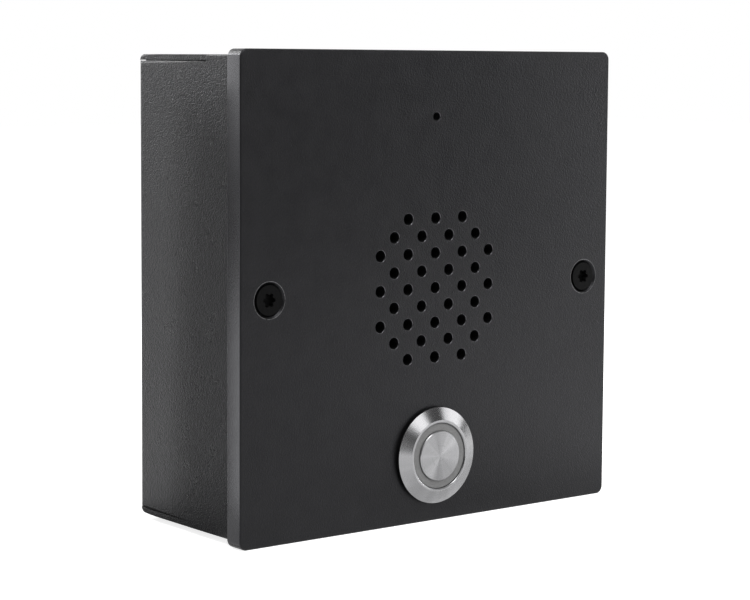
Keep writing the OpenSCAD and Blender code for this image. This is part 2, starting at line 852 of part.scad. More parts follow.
module microphone_boot() {
  front = plate_back + mic_pocket - seat_clear;
  boot_r = mic_d / 2 + boot_wall;
  rear = front - boot_wall - mic_len;
  color("#1d1d1d") translate([0, mic_y, 0]) difference() {
    translate([0, 0, rear]) cylinder(r = boot_r, h = front - rear);
    translate([0, 0, rear - through]) cylinder(r = mic_d / 2 + seat_clear, h = mic_len + through);
    cylinder(d = mic_hole_d + 1, h = front + through);
  }
}

module microphone_capsule() {
  front = plate_back + mic_pocket - seat_clear - boot_wall;
  pin_d = 0.8;
  pin_len = 0.6;
  color("#b8babc") translate([0, mic_y, front - mic_len]) {
    cylinder(d = mic_d, h = mic_len - seat_clear);
    for (sx = [-1, 1]) translate([sx * pin_pitch / 2, 0, -pin_len]) cylinder(d = pin_d, h = pin_len + eps);
  }
}

// Circuit board

module board_standoffs() {
  bore_len = board_screw_len - board_t + 2;
  color("#c0a35a") at_standoffs() difference() {
    union() {
      translate([0, 0, board_front]) hex_bar(standoff_af, standoff_len);
      translate([0, 0, plate_back - eps]) cylinder(d = stud_d, h = stud_socket + eps);
    }
    translate([0, 0, board_front - through]) cylinder(d = stud_d + 2 * seat_clear, h = bore_len + through);
  }
}

module circuit_board() {
  corner_r = 2;
  color("#1f5a34") difference() {
    translate([0, board_y, board_back]) rounded_block(board_w, board_h, board_t, corner_r);
    at_standoffs() translate([0, 0, board_back - through])
      cylinder(d = stud_d + 2 * bolt_clear, h = board_t + 2 * through);
  }
}

module board_screws() {
  slot_w = 0.8;
  color("#b4b6b8") at_standoffs() translate([0, 0, board_back]) difference() {
    union() {
      translate([0, 0, -board_screw_head_t]) cylinder(d = board_screw_head_d, h = board_screw_head_t);
      cylinder(d = stud_d, h = board_screw_len);
    }
    for (a = [0, 90]) rotate(a) translate([0, 0, -board_screw_head_t])
      cube([board_screw_head_d * 0.6, slot_w, board_screw_head_t], center = true);
  }
}

module at_ways() {
  for (i = [0 : block_ways - 1])
    translate([(i - (block_ways - 1) / 2) * block_pitch, block_y, board_back - block_t]) children();
}

module terminal_block() {
  entry_w = 3.4;
  entry_h = 3.6;
  entry_depth = 3;
  edge_r = 0.6;
  well_h = 3;
  color("#2f7a46") difference() {
    translate([0, block_y, board_back - block_t]) rounded_block(block_w, block_h, block_t, edge_r);
    at_ways() translate([0, 0, -through]) cylinder(d = block_well_d, h = well_h + through);
    at_ways() translate([-entry_w / 2, -block_h / 2 - through, well_h + 1.5])
      cube([entry_w, entry_depth + through, entry_h]);
  }
}

module terminal_screws() {
  screw_h = 1.8;
  sunk = 1.2;
  slot_w = 0.6;
  color("#b4b6b8") at_ways() translate([0, 0, sunk]) difference() {
    cylinder(d = block_well_d - 4 * seat_clear, h = screw_h);
    cube([block_well_d, slot_w, screw_h], center = true);
  }
}

module relay() {
  relay_w = 12;
  relay_h = 20;
  relay_t = 9;
  relay_x = 28;
  edge_r = 0.8;
  color("#1b4f8a") translate([relay_x, board_y, board_back - relay_t])
    rounded_block(relay_w, relay_h, relay_t, edge_r);
}

module capacitors() {
  can_r = 4;
  can_inset = 4;
  can_pitch = 11;
  can_rise = 20;
  can_h = 9;
  groove = 0.4;
  groove_at = 1.5;
  rim = 0.5;
  color("#23324a") for (i = [0 : 2])
    translate([-standoff_x + can_inset + i * can_pitch, board_y + can_rise, board_back]) rotate_extrude() polygon([
      [0, 0],
      [can_r, 0],
      [can_r, -groove_at + groove],
      [can_r - groove, -groove_at],
      [can_r, -groove_at - groove],
      [can_r, -can_h + rim],
      [can_r - rim, -can_h],
      [0, -can_h]
    ]);
}

module chip(x, y, w, h, t) {
  mark_r = 0.6;
  mark_depth = 0.2;
  mark_edge = 1.5;
  edge_r = 0.3;
  translate([x, y, board_back - t]) difference() {
    rounded_block(w, h, t, edge_r);
    translate([-w / 2 + mark_edge, h / 2 - mark_edge, -through]) cylinder(r = mark_r, h = mark_depth + through);
  }
}

module chips() {
  processor_x = 25;
  processor_drop = 8;
  processor_w = 14;
  processor_t = 1.4;
  amplifier_x = 8;
  amplifier_rise = 22;
  amplifier_w = 10;
  amplifier_h = 6;
  regulator_x = 24;
  regulator_rise = 24;
  regulator_w = 6;
  regulator_h = 5;
  chip_t = 1.6;
  color("#1a1a1c") {
    chip(-processor_x, board_y - processor_drop, processor_w, processor_w, processor_t);
    chip(amplifier_x, board_y + amplifier_rise, amplifier_w, amplifier_h, chip_t);
    chip(regulator_x, board_y + regulator_rise, regulator_w, regulator_h, chip_t);
  }
}

module header(x, y, ways) {
  side = 0.5;
  edge_r = 0.4;
  translate([x, y, board_front]) rounded_block(ways * pin_pitch + 2 * side, header_h, header_t, edge_r);
}

module lead_headers() {
  color("#e6e2d6") {
    header(speaker_header_x, 0, 2);
    header(0, mic_header_y, 2);
    header(0, button_header_y, 4);
  }
}

// Inner leads

module lead_pair(points, side_axis) {
  steps = 3;
  sides = 8;
  half = smooth_path(points, steps);
  path_tube(half, lead_d / 2, sides, side_axis);
}

module speaker_leads() {
  tag_end = [speaker_r + 1 + tag_len - 1.2, tag_spread, flange_back - strip_t - tag_t - lead_d / 2 - 0.05];
  header_top = board_front + header_t;
  color("#b03030") for (sy = [-1, 1]) lead_pair([
    [tag_end[0], sy * tag_end[1], tag_end[2]],
    [tag_end[0] + 2.6, sy * tag_end[1], tag_end[2] - 0.6],
    [tag_end[0] + 4.6, sy * 2.8, tag_end[2] - 4],
    [tag_end[0] + 4.4, sy * 2.3, header_top + 8],
    [speaker_header_x + 0.8, sy * pin_pitch / 2, header_top + 3],
    [speaker_header_x, sy * pin_pitch / 2, header_top + 0.05]
  ], [0, 1, 0]);
}

module microphone_leads() {
  pin_end = plate_back + mic_pocket - boot_wall - mic_len - 0.75;
  header_top = board_front + header_t;
  color("#d8d8d8") for (sx = [-1, 1]) lead_pair([
    [sx * pin_pitch / 2, mic_y, pin_end],
    [sx * pin_pitch / 2, mic_y, pin_end - 3],
    [sx * 1.6, mic_y - 1.4, pin_end - 8],
    [sx * 1.6, mic_header_y + 1.2, header_top + 6],
    [sx * pin_pitch / 2, mic_header_y, header_top + 2.5],
    [sx * pin_pitch / 2, mic_header_y, header_top + 0.05]
  ], [1, 0, 0]);
}

module button_leads() {
  leg_tip = plate_front + leg_end - 0.05;
  header_mid = board_front + header_t * 0.6;
  header_side = button_header_y - header_h / 2 - 0.05;
  color("#303030") for (sx = [-1, 1]) lead_pair([
    [sx * leg_x, -button_drop, leg_tip],
    [sx * leg_x, -button_drop + 0.2, leg_tip - 3],
    [sx * 5, -button_drop + 3, leg_tip - 5],
    [sx * 4.6, -button_drop + 7, leg_tip - 4.2],
    [sx * 4.2, header_side - 4, header_mid - 0.8],
    [sx * 4, header_side, header_mid]
  ], [1, 0, 0]);
}

// Call button

module button_turned(points) {
  at_button() rotate_extrude() polygon(points);
}

module button_bezel() {
  color("#c4c5c6") at_button() difference() {
    union() {
      rotate_extrude() polygon([
        [bezel_bore_r, seal_t],
        [bezel_r, seal_t],
        [bezel_r, seal_t + bezel_land],
        [bezel_face_r, bezel_h],
        [bezel_bore_r, bezel_h]
      ]);
      translate([0, 0, -barrel_len])
        linear_extrude(barrel_len + seal_t + bezel_land) barrel_outline(barrel_r, barrel_flat);
    }
    translate([0, 0, shoulder - eps]) cylinder(r = bezel_bore_r, h = bezel_h - shoulder + through);
    translate([0, 0, -barrel_len - through]) cylinder(r = barrel_in_r, h = barrel_len + shoulder + through);
  }
}

module button_seal() {
  inner_r = barrel_r + bolt_clear;
  set_in = 0.6;
  color("#141414") at_button() ring(bezel_r - set_in, inner_r, 0, seal_t);
}

module lock_washer() {
  teeth = 12;
  notch_r = 0.7;
  color("#a7a9ab") at_button() translate([0, 0, -plate_t - lock_washer_t]) difference() {
    cylinder(r = lock_washer_r, h = lock_washer_t);
    translate([0, 0, -through]) cylinder(r = barrel_r + seat_clear, h = lock_washer_t + 2 * through);
    for (i = [0 : teeth - 1]) rotate(i * 360 / teeth) translate([lock_washer_r, 0, -through])
      cylinder(r = notch_r, h = lock_washer_t + 2 * through);
  }
}

module panel_nut() {
  color("#b4b6b8") at_button() translate([0, 0, -plate_t - lock_washer_t - panel_nut_t]) difference() {
    hex_bar(panel_nut_af, panel_nut_t);
    translate([0, 0, -through]) cylinder(r = barrel_r + seat_clear, h = panel_nut_t + 2 * through);
  }
}

module light_ring() {
  pocket_r = cap_r + seat_clear;
  color("#8d8f90") button_turned([
    [cap_stem_r + seat_clear, cap_seat],
    [pocket_r, cap_seat],
    [pocket_r, ring_top],
    [ring_r, ring_top],
    [ring_r, collar_top],
    [barrel_in_r - free_gap, collar_top],
    [barrel_in_r - free_gap, collar_bottom],
    [skirt_r, collar_bottom],
    [skirt_r, disc_top],
    [cap_stem_r + seat_clear, disc_top]
  ]);
}

module button_cap() {
  color("#cfd0d1") button_turned([
    [0, cap_top],
    [cap_r - cap_edge, cap_top],
    [cap_r, cap_top - cap_edge],
    [cap_r, cap_seat],
    [cap_stem_r, cap_seat],
    [cap_stem_r, disc_bottom],
    [0, disc_bottom]
  ]);
}

module plunger() {
  disc_r = skirt_r - seat_clear;
  color("#2a2a2c") at_button() difference() {
    rotate_extrude() polygon([
      [0, disc_top],
      [disc_r, disc_top],
      [disc_r, disc_bottom],
      [rod_r, disc_bottom],
      [rod_r, bridge_top],
      [tip_r, bridge_top],
      [tip_r, bridge_bottom],
      [0, bridge_bottom]
    ]);
    translate([0, 0, disc_bottom - seat_clear])
      cylinder(r = cap_stem_r + seat_clear, h = disc_t + seat_clear + through);
  }
}

module return_spring() {
  turn_steps = 16;
  sides = 6;
  end_gap = 0.1;
  low = spring_seat + spring_wire / 2 + end_gap;
  high = disc_bottom - spring_wire / 2 - end_gap;
  steps = spring_turns * turn_steps;
  path = [
    for (i = [0 : steps])
      [
        spring_d / 2 * cos(360 * i / turn_steps),
        spring_d / 2 * sin(360 * i / turn_steps),
        low + (high - low) * i / steps
      ]
  ];
  least_gap = min([
    for (i = [0 : steps - turn_steps], k = [-2 : 2])
      if (i + turn_steps + k <= steps) norm(path[i + turn_steps + k] - path[i])
  ]) - spring_wire;
  echo(return_spring_least_gap_mm = least_gap);
  color("#d0d1d2") at_button() path_tube(path, spring_wire / 2, sides, [0, 0, 1]);
}

module lamp_board() {
  color("#e9e9e4") at_button()
    ring(barrel_in_r - slide_clear, spring_d / 2 + spring_room, base_top, base_top + lamp_board_t);
}

module lamps() {
  lamp_w = 1.6;
  lamp_h = 0.8;
  count = 4;
  lamp_reach = (barrel_in_r + spring_d / 2 + spring_room) / 2;
  color("#f2e7b0") at_button() for (i = [0 : count - 1]) rotate(i * 360 / count)
    translate([lamp_reach, 0, base_top + lamp_board_t + lamp_h / 2])
      cube([lamp_h, lamp_w, lamp_h], center = true);
}

module contact_base() {
  base_r = barrel_in_r - slide_clear;
  well_r = spring_d / 2 + spring_wire / 2 + 0.8;
  slot = leg_t + 4 * seat_clear;
  slot_w = pad_w + 4 * seat_clear;
  color("#1e1e20") at_button() difference() {
    rotate_extrude() polygon([
      [well_r, base_top],
      [base_r, base_top],
      [base_r, base_bottom],
      [0, base_bottom],
      [0, chamber_bottom],
      [base_r - chamber_wall, chamber_bottom],
      [base_r - chamber_wall, chamber_top],
      [rod_r + slide_clear, chamber_top],
      [rod_r + slide_clear, spring_seat],
      [well_r, spring_seat]
    ]);
    for (sx = [-1, 1])
      translate([sx * leg_x - slot / 2, -slot_w / 2, base_bottom - through])
        cube([slot, slot_w, chamber_bottom - base_bottom + 2 * through]);
  }
}

module fixed_contacts() {
  color("#c8a24a") at_button() for (sx = [-1, 1]) union() {
    translate([sx * pad_x - pad_w / 2, -pad_w / 2, pad_top - pad_t]) cube([pad_w, pad_w, pad_t]);
    translate([sx * leg_x - leg_t / 2, -pad_w / 2, leg_end]) cube([leg_t, pad_w, pad_top - leg_end]);
  }
}

module moving_contact() {
  bridge_len = 2 * pad_x + pad_w;
  bridge_w = 4;
  color("#c8a24a") at_button() translate([0, 0, bridge_bottom]) linear_extrude(bridge_t) difference() {
    rounded_square(bridge_len, bridge_w, 1);
    circle(tip_r + seat_clear);
  }
}

stand_up() back_box();
stand_up() fixing_brackets();
stand_up() rivet_nuts();
stand_up() cable_bushing();
stand_up() faceplate_gasket();
stand_up() faceplate();
stand_up() faceplate_screws();
stand_up() grille_cloth();
stand_up() speaker_gasket();
stand_up() speaker_frame();
stand_up() speaker_surround();
stand_up() speaker_cone();
stand_up() dust_cap();
stand_up() coil_former();
stand_up() voice_coil();
stand_up() spider();
stand_up() front_washer();
stand_up() ring_magnet();
stand_up() pole_yoke();
stand_up() terminal_strip();
stand_up() speaker_tags();
stand_up() speaker_studs();
stand_up() speaker_clips();
stand_up() speaker_nuts();
stand_up() microphone_boot();
stand_up() microphone_capsule();
stand_up() board_standoffs();
stand_up() circuit_board();
stand_up() board_screws();
stand_up() terminal_block();
stand_up() terminal_screws();
stand_up() relay();
stand_up() capacitors();
stand_up() chips();
stand_up() lead_headers();
stand_up() speaker_leads();
stand_up() microphone_leads();
stand_up() button_leads();
stand_up() button_bezel();
stand_up() button_seal();
stand_up() lock_washer();
stand_up() panel_nut();
stand_up() light_ring();
stand_up() button_cap();
stand_up() plunger();
stand_up() return_spring();
stand_up() lamp_board();
stand_up() lamps();
stand_up() contact_base();
stand_up() fixed_contacts();
stand_up() moving_contact();
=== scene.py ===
"""Audio intercom panel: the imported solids, dressed with modelled pieces and finishes, in a white studio."""
import json
import math

import bmesh
import bpy
from mathutils import Matrix, Vector


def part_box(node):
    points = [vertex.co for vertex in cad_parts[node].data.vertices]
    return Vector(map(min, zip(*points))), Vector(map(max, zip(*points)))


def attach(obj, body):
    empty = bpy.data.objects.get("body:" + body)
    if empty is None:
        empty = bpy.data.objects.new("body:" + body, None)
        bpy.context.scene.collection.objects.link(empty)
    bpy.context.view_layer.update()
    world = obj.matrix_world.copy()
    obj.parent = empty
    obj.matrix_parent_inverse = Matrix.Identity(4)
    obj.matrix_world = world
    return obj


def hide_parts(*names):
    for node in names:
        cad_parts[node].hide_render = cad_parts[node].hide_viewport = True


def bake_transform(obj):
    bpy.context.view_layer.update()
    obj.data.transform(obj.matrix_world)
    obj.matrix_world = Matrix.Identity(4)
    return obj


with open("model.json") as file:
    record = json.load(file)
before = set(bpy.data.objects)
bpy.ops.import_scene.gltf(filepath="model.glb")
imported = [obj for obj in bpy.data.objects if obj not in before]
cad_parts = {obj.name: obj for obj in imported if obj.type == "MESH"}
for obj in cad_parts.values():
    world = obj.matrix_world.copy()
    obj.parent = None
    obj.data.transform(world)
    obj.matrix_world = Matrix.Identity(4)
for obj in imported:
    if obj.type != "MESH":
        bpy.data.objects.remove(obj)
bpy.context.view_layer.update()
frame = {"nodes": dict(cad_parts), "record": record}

MM = 0.001

# Sizes in millimetres, as in the part's source. "Out" is the distance from the wall.

# Faceplate and what is drilled in it
PLATE_W = 127.0
PLATE_T = 6.0
PLATE_BACK = 44.5
PLATE_FRONT = PLATE_BACK + PLATE_T
PLATE_CORNER_R = 2.2
PLATE_EDGE_R = 0.5
PLATE_BACK_EDGE = 0.3
GRILLE_STEP = 4.69
GRILLE_REACH = 4
GRILLE_HOLE_R = 1.55
GRILLE_RIM_R = 0.22
MIC_UP = 45.9
MIC_HOLE_R = 1.175
MIC_HOLE_DEEP = 3.5
MIC_RIM_R = 0.18
MIC_POCKET_R = 6.05
MIC_POCKET_DEEP = 3.2
STUD_HOLE_R = 1.55
STUD_HOLE_DEEP = 3.1
STUD_OFFSET = 20.506
STANDOFF_PLACES = ((-37.0, 45.0), (37.0, 45.0), (-37.0, -25.0), (37.0, -25.0))

# How far a cutter runs past a face, and past the front where it also rounds a rim
CUT_PAST = 1.0
RIM_PAST = 0.4

# Deeper than any of the rounded rims
RIM_DEPTH = 0.3

# Back box
BOX_HALF = 62.0
SHEET_T = 1.5
SHEET_EDGE = 0.14
SEAM_GAP = 0.2
SEAM_STEP = 0.4
BEND_R = 2.0
FLANGE_CORNER_R = 0.6
SIDE_WALL_EDGE_R = 1.0
WELD_R = 0.5
LONG_EDGE = 5.0
WELD_START = 33.0
LOW_WELD_START = 24.5

# Faceplate screws. The sink's rim is given in steps outward from its edge and up from the front.
SCREW_X = 54.5
SCREW_TOP = PLATE_FRONT - 0.1
SCREW_R = 2.0
SCREW_LEN = 14.0
SCREW_POINT = 0.5
SCREW_HOLE_R = 2.25
HEAD_R = 3.93
HEAD_EDGE = 0.15
HEAD_LAND = 0.68
HEAD_DEEP = 2.68
LOBE_CORE_R = 1.443
LOBE_RING_R = 1.404
LOBE_R = 0.546
LOBE_DEEP = 1.6
SINK_R = 4.8
SINK_RIM = ((-0.1, -0.1), (-0.03, -0.04), (0.04, -0.012), (0.12, 0.004), (0.2, RIM_PAST))

# Call button. Heights are measured out from the plate's front.
BUTTON_UP = -45.4
BARREL_HOLE_R = 11.2
BARREL_R = 10.95
BARREL_BORE_R = 10.0
BARREL_DEEP = 22.0
BARREL_FLAT = 0.6
BEZEL_R = 13.05
BEZEL_BORE_R = 8.9
BEZEL_TOP = 2.6
BEZEL_FACE_R = 9.75
BEZEL_LAND_TOP = 1.15
BEZEL_STEP_DEEP = 3.2
SEAL_T = 0.8
SEAL_INSET = 0.6
RING_R = 8.8
RING_IN_R = 6.85
RING_TOP = 2.2
RING_FOOT_R = 9.7
RING_FOOT_TOP = -3.5
RING_FOOT_LOW = -5.0
SKIRT_BORE_R = 7.0
SKIRT_ROOF = -1.0
STEM_HOLE_R = 1.55
CAP_R = 6.8
CAP_TOP = 2.7
CAP_EDGE = 0.2
CAP_SEAT = 1.1
STEM_R = 1.5
STEM_LOW = -2.5
SPRING_R = 4.2
SPRING_WIRE_R = 0.3
SPRING_LOW = -12.6
SPRING_HIGH = -2.9

# Loudspeaker, and the leads
SPEAKER_R = 26.0
SPEAKER_FRONT = 41.3
CLOTH_BACK = 44.1
CLOTH_T = 0.4
CLOTH_AIR = 0.02
CLOTH_RINGS = (2.0, 10.0, 20.0)
CLOTH_FREE_R = 24.6
CLOTH_GRIP_R = 25.4
CLOTH_GRIP_T = 0.25
FOAM_RING_IN_R = 22.7
FOAM_RING_T = 2.5
SURROUND_T = 0.3
SURROUND_AIR = 0.01
ROLL_MIDDLE_R = 21.0
ROLL_R = 1.4
CONE_LIP_R = 18.4
SPIDER_IN_R = 6.75
SPIDER_GLUE = 0.3
SPIDER_RIM_W = 2.8
SPIDER_T = 0.3
SPIDER_DEEP = 5.3
SPIDER_WAVES = 3
SPIDER_WAVE_H = 0.35
LEAD_R = 0.5


def at(x, up, out):
    """A point of the row frame, in metres, from millimetres right, up and out from the wall."""
    return Vector((x, -out, up)) * MM


# Modelling by hand: small steps that the pieces share

# Points closer than this lie in the same plane
NEAR = 0.02 * MM


def clear_selection():
    if bpy.context.mode != "OBJECT":
        bpy.ops.object.mode_set(mode="OBJECT")
    bpy.ops.object.select_all(action="DESELECT")


def choose(piece):
    clear_selection()
    piece.select_set(True)
    bpy.context.view_layer.objects.active = piece


def settle(piece):
    """Puts the piece's place, turn and scale into its mesh."""
    choose(piece)
    bpy.ops.object.transform_apply(location=True, rotation=True, scale=True)


def discard(piece):
    bpy.data.objects.remove(piece, do_unlink=True)


def pick_edges(piece, wanted):
    """In edit mode, selects just the edges whose two ends satisfy wanted."""
    bpy.ops.mesh.select_mode(type="EDGE")
    bpy.ops.mesh.select_all(action="DESELECT")
    shape = bmesh.from_edit_mesh(piece.data)
    for edge in shape.edges:
        if wanted(edge.verts[0].co, edge.verts[1].co):
            edge.select_set(True)
    bmesh.update_edit_mesh(piece.data)


def bevel_picked(piece, wanted, width, steps):
    choose(piece)
    bpy.ops.object.mode_set(mode="EDIT")
    pick_edges(piece, wanted)
    bpy.ops.mesh.bevel(offset=width * MM, segments=steps, affect="EDGES", clamp_overlap=False)
    bpy.ops.object.mode_set(mode="OBJECT")


def closed(outline):
    """The outline again, ended on its first point."""
    return outline + outline[:1]


def turned(name, outline, sides):
    """A piece turned about z: outline is (radius, height) in mm. An open outline is closed by flat ends."""
    clear_selection()
    radius, height = outline[0]
    bpy.ops.mesh.primitive_circle_add(vertices=sides, radius=radius * MM, location=(0, 0, height * MM))
    piece = bpy.context.object
    piece.name = piece.data.name = name
    bpy.ops.object.mode_set(mode="EDIT")
    bpy.ops.mesh.select_all(action="SELECT")
    for next_radius, next_height in outline[1:]:
        rise = (next_height - height) * MM
        bpy.ops.mesh.extrude_edges_move(TRANSFORM_OT_translate={"value": (0, 0, rise)})
        share = next_radius / radius
        bpy.ops.transform.resize(value=(share, share, 1), center_override=(0, 0, next_height * MM))
        radius, height = next_radius, next_height
    bpy.ops.mesh.select_all(action="SELECT")
    bpy.ops.mesh.remove_doubles(threshold=1e-6)
    bpy.ops.mesh.fill_holes(sides=0)
    bpy.ops.mesh.select_all(action="SELECT")
    bpy.ops.mesh.normals_make_consistent(inside=False)
    bpy.ops.object.mode_set(mode="OBJECT")
    settle(piece)
    return piece


def stand_up(piece, x, up, out):
    """Turns a piece made lying, z out, to the panel's upright place."""
    piece.rotation_euler = (math.pi / 2, 0, 0)
    piece.location = at(x, up, out)
    settle(piece)
    return piece


def copied(piece, name):
    twin = piece.copy()
    twin.data = piece.data.copy()
    twin.name = twin.data.name = name
    bpy.context.scene.collection.objects.link(twin)
    return twin


def joined(pieces):
    choose(pieces[0])
    for piece in pieces:
        piece.select_set(True)
    bpy.ops.object.join()
    return pieces[0]


def apply_modifier(piece, kind, **settings):
    choose(piece)
    made = piece.modifiers.new(kind.lower(), kind)
    for key, value in settings.items():
        setattr(made, key, value)
    bpy.ops.object.modifier_apply(modifier=made.name)


def cut_away(piece, cutter, crossing=False):
    """Cuts the cutter out of the piece; crossing is for cutters whose own parts overlap."""
    apply_modifier(
        piece, "BOOLEAN", operation="DIFFERENCE", solver="EXACT", object=cutter, use_self=crossing)
    discard(cutter)


def break_edges(piece, width, steps=2, angle=30.0):
    apply_modifier(
        piece, "BEVEL", width=width * MM, segments=steps, limit_method="ANGLE",
        angle_limit=math.radians(angle), use_clamp_overlap=True,
    )


def smooth(piece, angle=32.0):
    choose(piece)
    bpy.ops.object.shade_smooth_by_angle(angle=math.radians(angle))
    apply_modifier(piece, "WEIGHTED_NORMAL", keep_sharp=True, weight=100)


def refined_copy(name, node):
    """A copy of a CAD node's mesh, with its loose triangles merged into flat faces."""
    piece = bpy.data.objects.new(name, frame["nodes"][node].data.copy())
    bpy.context.scene.collection.objects.link(piece)
    piece.data.name = name
    choose(piece)
    bpy.ops.object.mode_set(mode="EDIT")
    bpy.ops.mesh.select_all(action="SELECT")
    bpy.ops.mesh.remove_doubles(threshold=2e-6)
    bpy.ops.mesh.dissolve_limited(angle_limit=math.radians(0.6))
    bpy.ops.object.mode_set(mode="OBJECT")
    return piece


# Faceplate

def hole_outline(radius, deep, rim):
    """The outline of a hole's cutter, with a rounded rim at the plate's front."""
    outline = [(radius, -deep), (radius, -rim)]
    for degrees in (25, 50, 75):
        turn = math.radians(degrees)
        outline.append((radius + rim * (1 - math.cos(turn)), rim * (math.sin(turn) - 1)))
    outline.append((radius + rim, RIM_PAST))
    return outline


def grille_cutters():
    """One cutter for each hole of the staggered, rounded grille."""
    hole = turned("grille_cutter", hole_outline(GRILLE_HOLE_R, PLATE_T + CUT_PAST, GRILLE_RIM_R), 32)
    cutters = []
    span = range(-GRILLE_REACH, GRILLE_REACH + 1)
    for i in span:
        for j in span:
            if (i + j) % 2 == 0 and i * i + j * j < (GRILLE_REACH + 1) ** 2:
                twin = copied(hole, "grille_cutter_copy")
                cutters.append(stand_up(twin, i * GRILLE_STEP, j * GRILLE_STEP, PLATE_FRONT))
    discard(hole)
    return cutters


def microphone_cutters():
    """The small hole in the front, and the boot's pocket behind it."""
    hole = turned("microphone_cutter", hole_outline(MIC_HOLE_R, MIC_HOLE_DEEP, MIC_RIM_R), 32)
    pocket = turned("pocket_cutter", [(MIC_POCKET_R, -CUT_PAST), (MIC_POCKET_R, MIC_POCKET_DEEP)], 48)
    return [stand_up(hole, 0, MIC_UP, PLATE_FRONT), stand_up(pocket, 0, MIC_UP, PLATE_BACK)]


def sink_cutters():
    """The two countersunk screw holes."""
    hole = [(SCREW_HOLE_R, -PLATE_T - CUT_PAST), (SCREW_HOLE_R, SCREW_HOLE_R - SINK_R)]
    rim = [(SINK_R + step, rise) for step, rise in SINK_RIM]
    right = turned("sink_cutter", hole + rim, 96)
    left = copied(right, "sink_cutter_copy")
    return [stand_up(left, -SCREW_X, 0, PLATE_FRONT), stand_up(right, SCREW_X, 0, PLATE_FRONT)]


def barrel_cutter():
    """The button's hole, with the flat that keeps the barrel from turning."""
    hole = turned("barrel_cutter", [(BARREL_HOLE_R, -PLATE_T - CUT_PAST), (BARREL_HOLE_R, CUT_PAST)], 96)
    choose(hole)
    bpy.ops.object.mode_set(mode="EDIT")
    bpy.ops.mesh.select_all(action="SELECT")
    bpy.ops.mesh.bisect(
        plane_co=(0, (BARREL_HOLE_R - BARREL_FLAT) * MM, 0), plane_no=(0, 1, 0),
        use_fill=True, clear_outer=True,
    )
    bpy.ops.object.mode_set(mode="OBJECT")
    return stand_up(hole, 0, BUTTON_UP, PLATE_FRONT)


def stud_cutters():
    """Blind holes in the plate's back, for the speaker's studs and the board's standoffs."""
    hole = turned("stud_cutter", [(STUD_HOLE_R, -CUT_PAST), (STUD_HOLE_R, STUD_HOLE_DEEP)], 24)
    studs = [(sx * STUD_OFFSET, sy * STUD_OFFSET) for sx in (-1, 1) for sy in (-1, 1)]
    cutters = []
    for x, up in (*studs, *STANDOFF_PLACES):
        cutters.append(stand_up(copied(hole, "stud_cutter_copy"), x, up, PLATE_BACK))
    discard(hole)
    return cutters


def make_faceplate():
    clear_selection()
    bpy.ops.mesh.primitive_cube_add(
        size=1, location=at(0, 0, (PLATE_BACK + PLATE_FRONT) / 2),
        scale=(PLATE_W * MM, PLATE_T * MM, PLATE_W * MM),
    )
    plate = bpy.context.object
    plate.name = plate.data.name = "coated_faceplate"
    settle(plate)

    def upright_corner(a, b):
        return abs(a.y - b.y) > PLATE_T * MM / 2

    def front_edge(a, b):
        return max(a.y, b.y) < -PLATE_FRONT * MM + NEAR

    def back_edge(a, b):
        return min(a.y, b.y) > -PLATE_BACK * MM - NEAR

    bevel_picked(plate, upright_corner, PLATE_CORNER_R, 8)
    bevel_picked(plate, front_edge, PLATE_EDGE_R, 4)
    bevel_picked(plate, back_edge, PLATE_BACK_EDGE, 2)
    cutters = grille_cutters() + microphone_cutters() + sink_cutters() + [barrel_cutter()] + stud_cutters()
    cut_away(plate, joined(cutters), crossing=True)
    smooth(plate)
    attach(plate, "panel")
    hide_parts("faceplate")
    return plate


# Folded back box

def make_back_box():
    box = refined_copy("coated_back_box", "back_box")
    side = BOX_HALF * MM
    wall_top = (BOX_HALF - SHEET_T - SEAM_GAP) * MM
    flange_end = (BOX_HALF - SEAM_STEP) * MM
    bend = BEND_R * MM

    def both_at(first, second, distance):
        return abs(abs(first) - distance) < NEAR and abs(abs(second) - distance) < NEAR

    def on_side(a, b):
        return both_at(a.x, b.x, side) and a.x * b.x > 0

    def side_wall_edge(a, b):
        runs_out = abs(a.y - b.y) > LONG_EDGE * MM
        return on_side(a, b) and both_at(a.z, b.z, wall_top) and runs_out

    def welded_corner(a, b):
        weld = -(WELD_START if a.z > 0 else LOW_WELD_START) * MM
        return on_side(a, b) and both_at(a.z, b.z, side) and max(a.y, b.y) < weld + NEAR

    def flange_corner(a, b):
        at_end = both_at(a.x, b.x, flange_end) and a.x * b.x > 0
        return at_end and min(a.y, b.y) > -bend - NEAR and min(abs(a.z), abs(b.z)) > side - bend

    bevel_picked(box, flange_corner, FLANGE_CORNER_R, 4)
    bevel_picked(box, side_wall_edge, SIDE_WALL_EDGE_R, 6)
    bevel_picked(box, welded_corner, WELD_R, 3)
    break_edges(box, SHEET_EDGE, angle=40)
    smooth(box)
    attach(box, "panel")
    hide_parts("back_box")
    return box


# Faceplate screws

def lobe_cutter():
    """The six-lobe recess: a round core and six smaller rounds about it."""
    lobes = [turned("lobe_core", [(LOBE_CORE_R, -LOBE_DEEP), (LOBE_CORE_R, CUT_PAST)], 48)]
    lobe = turned("lobe_side", [(LOBE_R, -LOBE_DEEP), (LOBE_R, CUT_PAST)], 24)
    for turn in range(6):
        twin = copied(lobe, "lobe_side_copy")
        angle = math.radians(60 * turn)
        twin.location = Vector((math.cos(angle), math.sin(angle), 0)) * LOBE_RING_R * MM
        settle(twin)
        lobes.append(twin)
    discard(lobe)
    return joined(lobes)


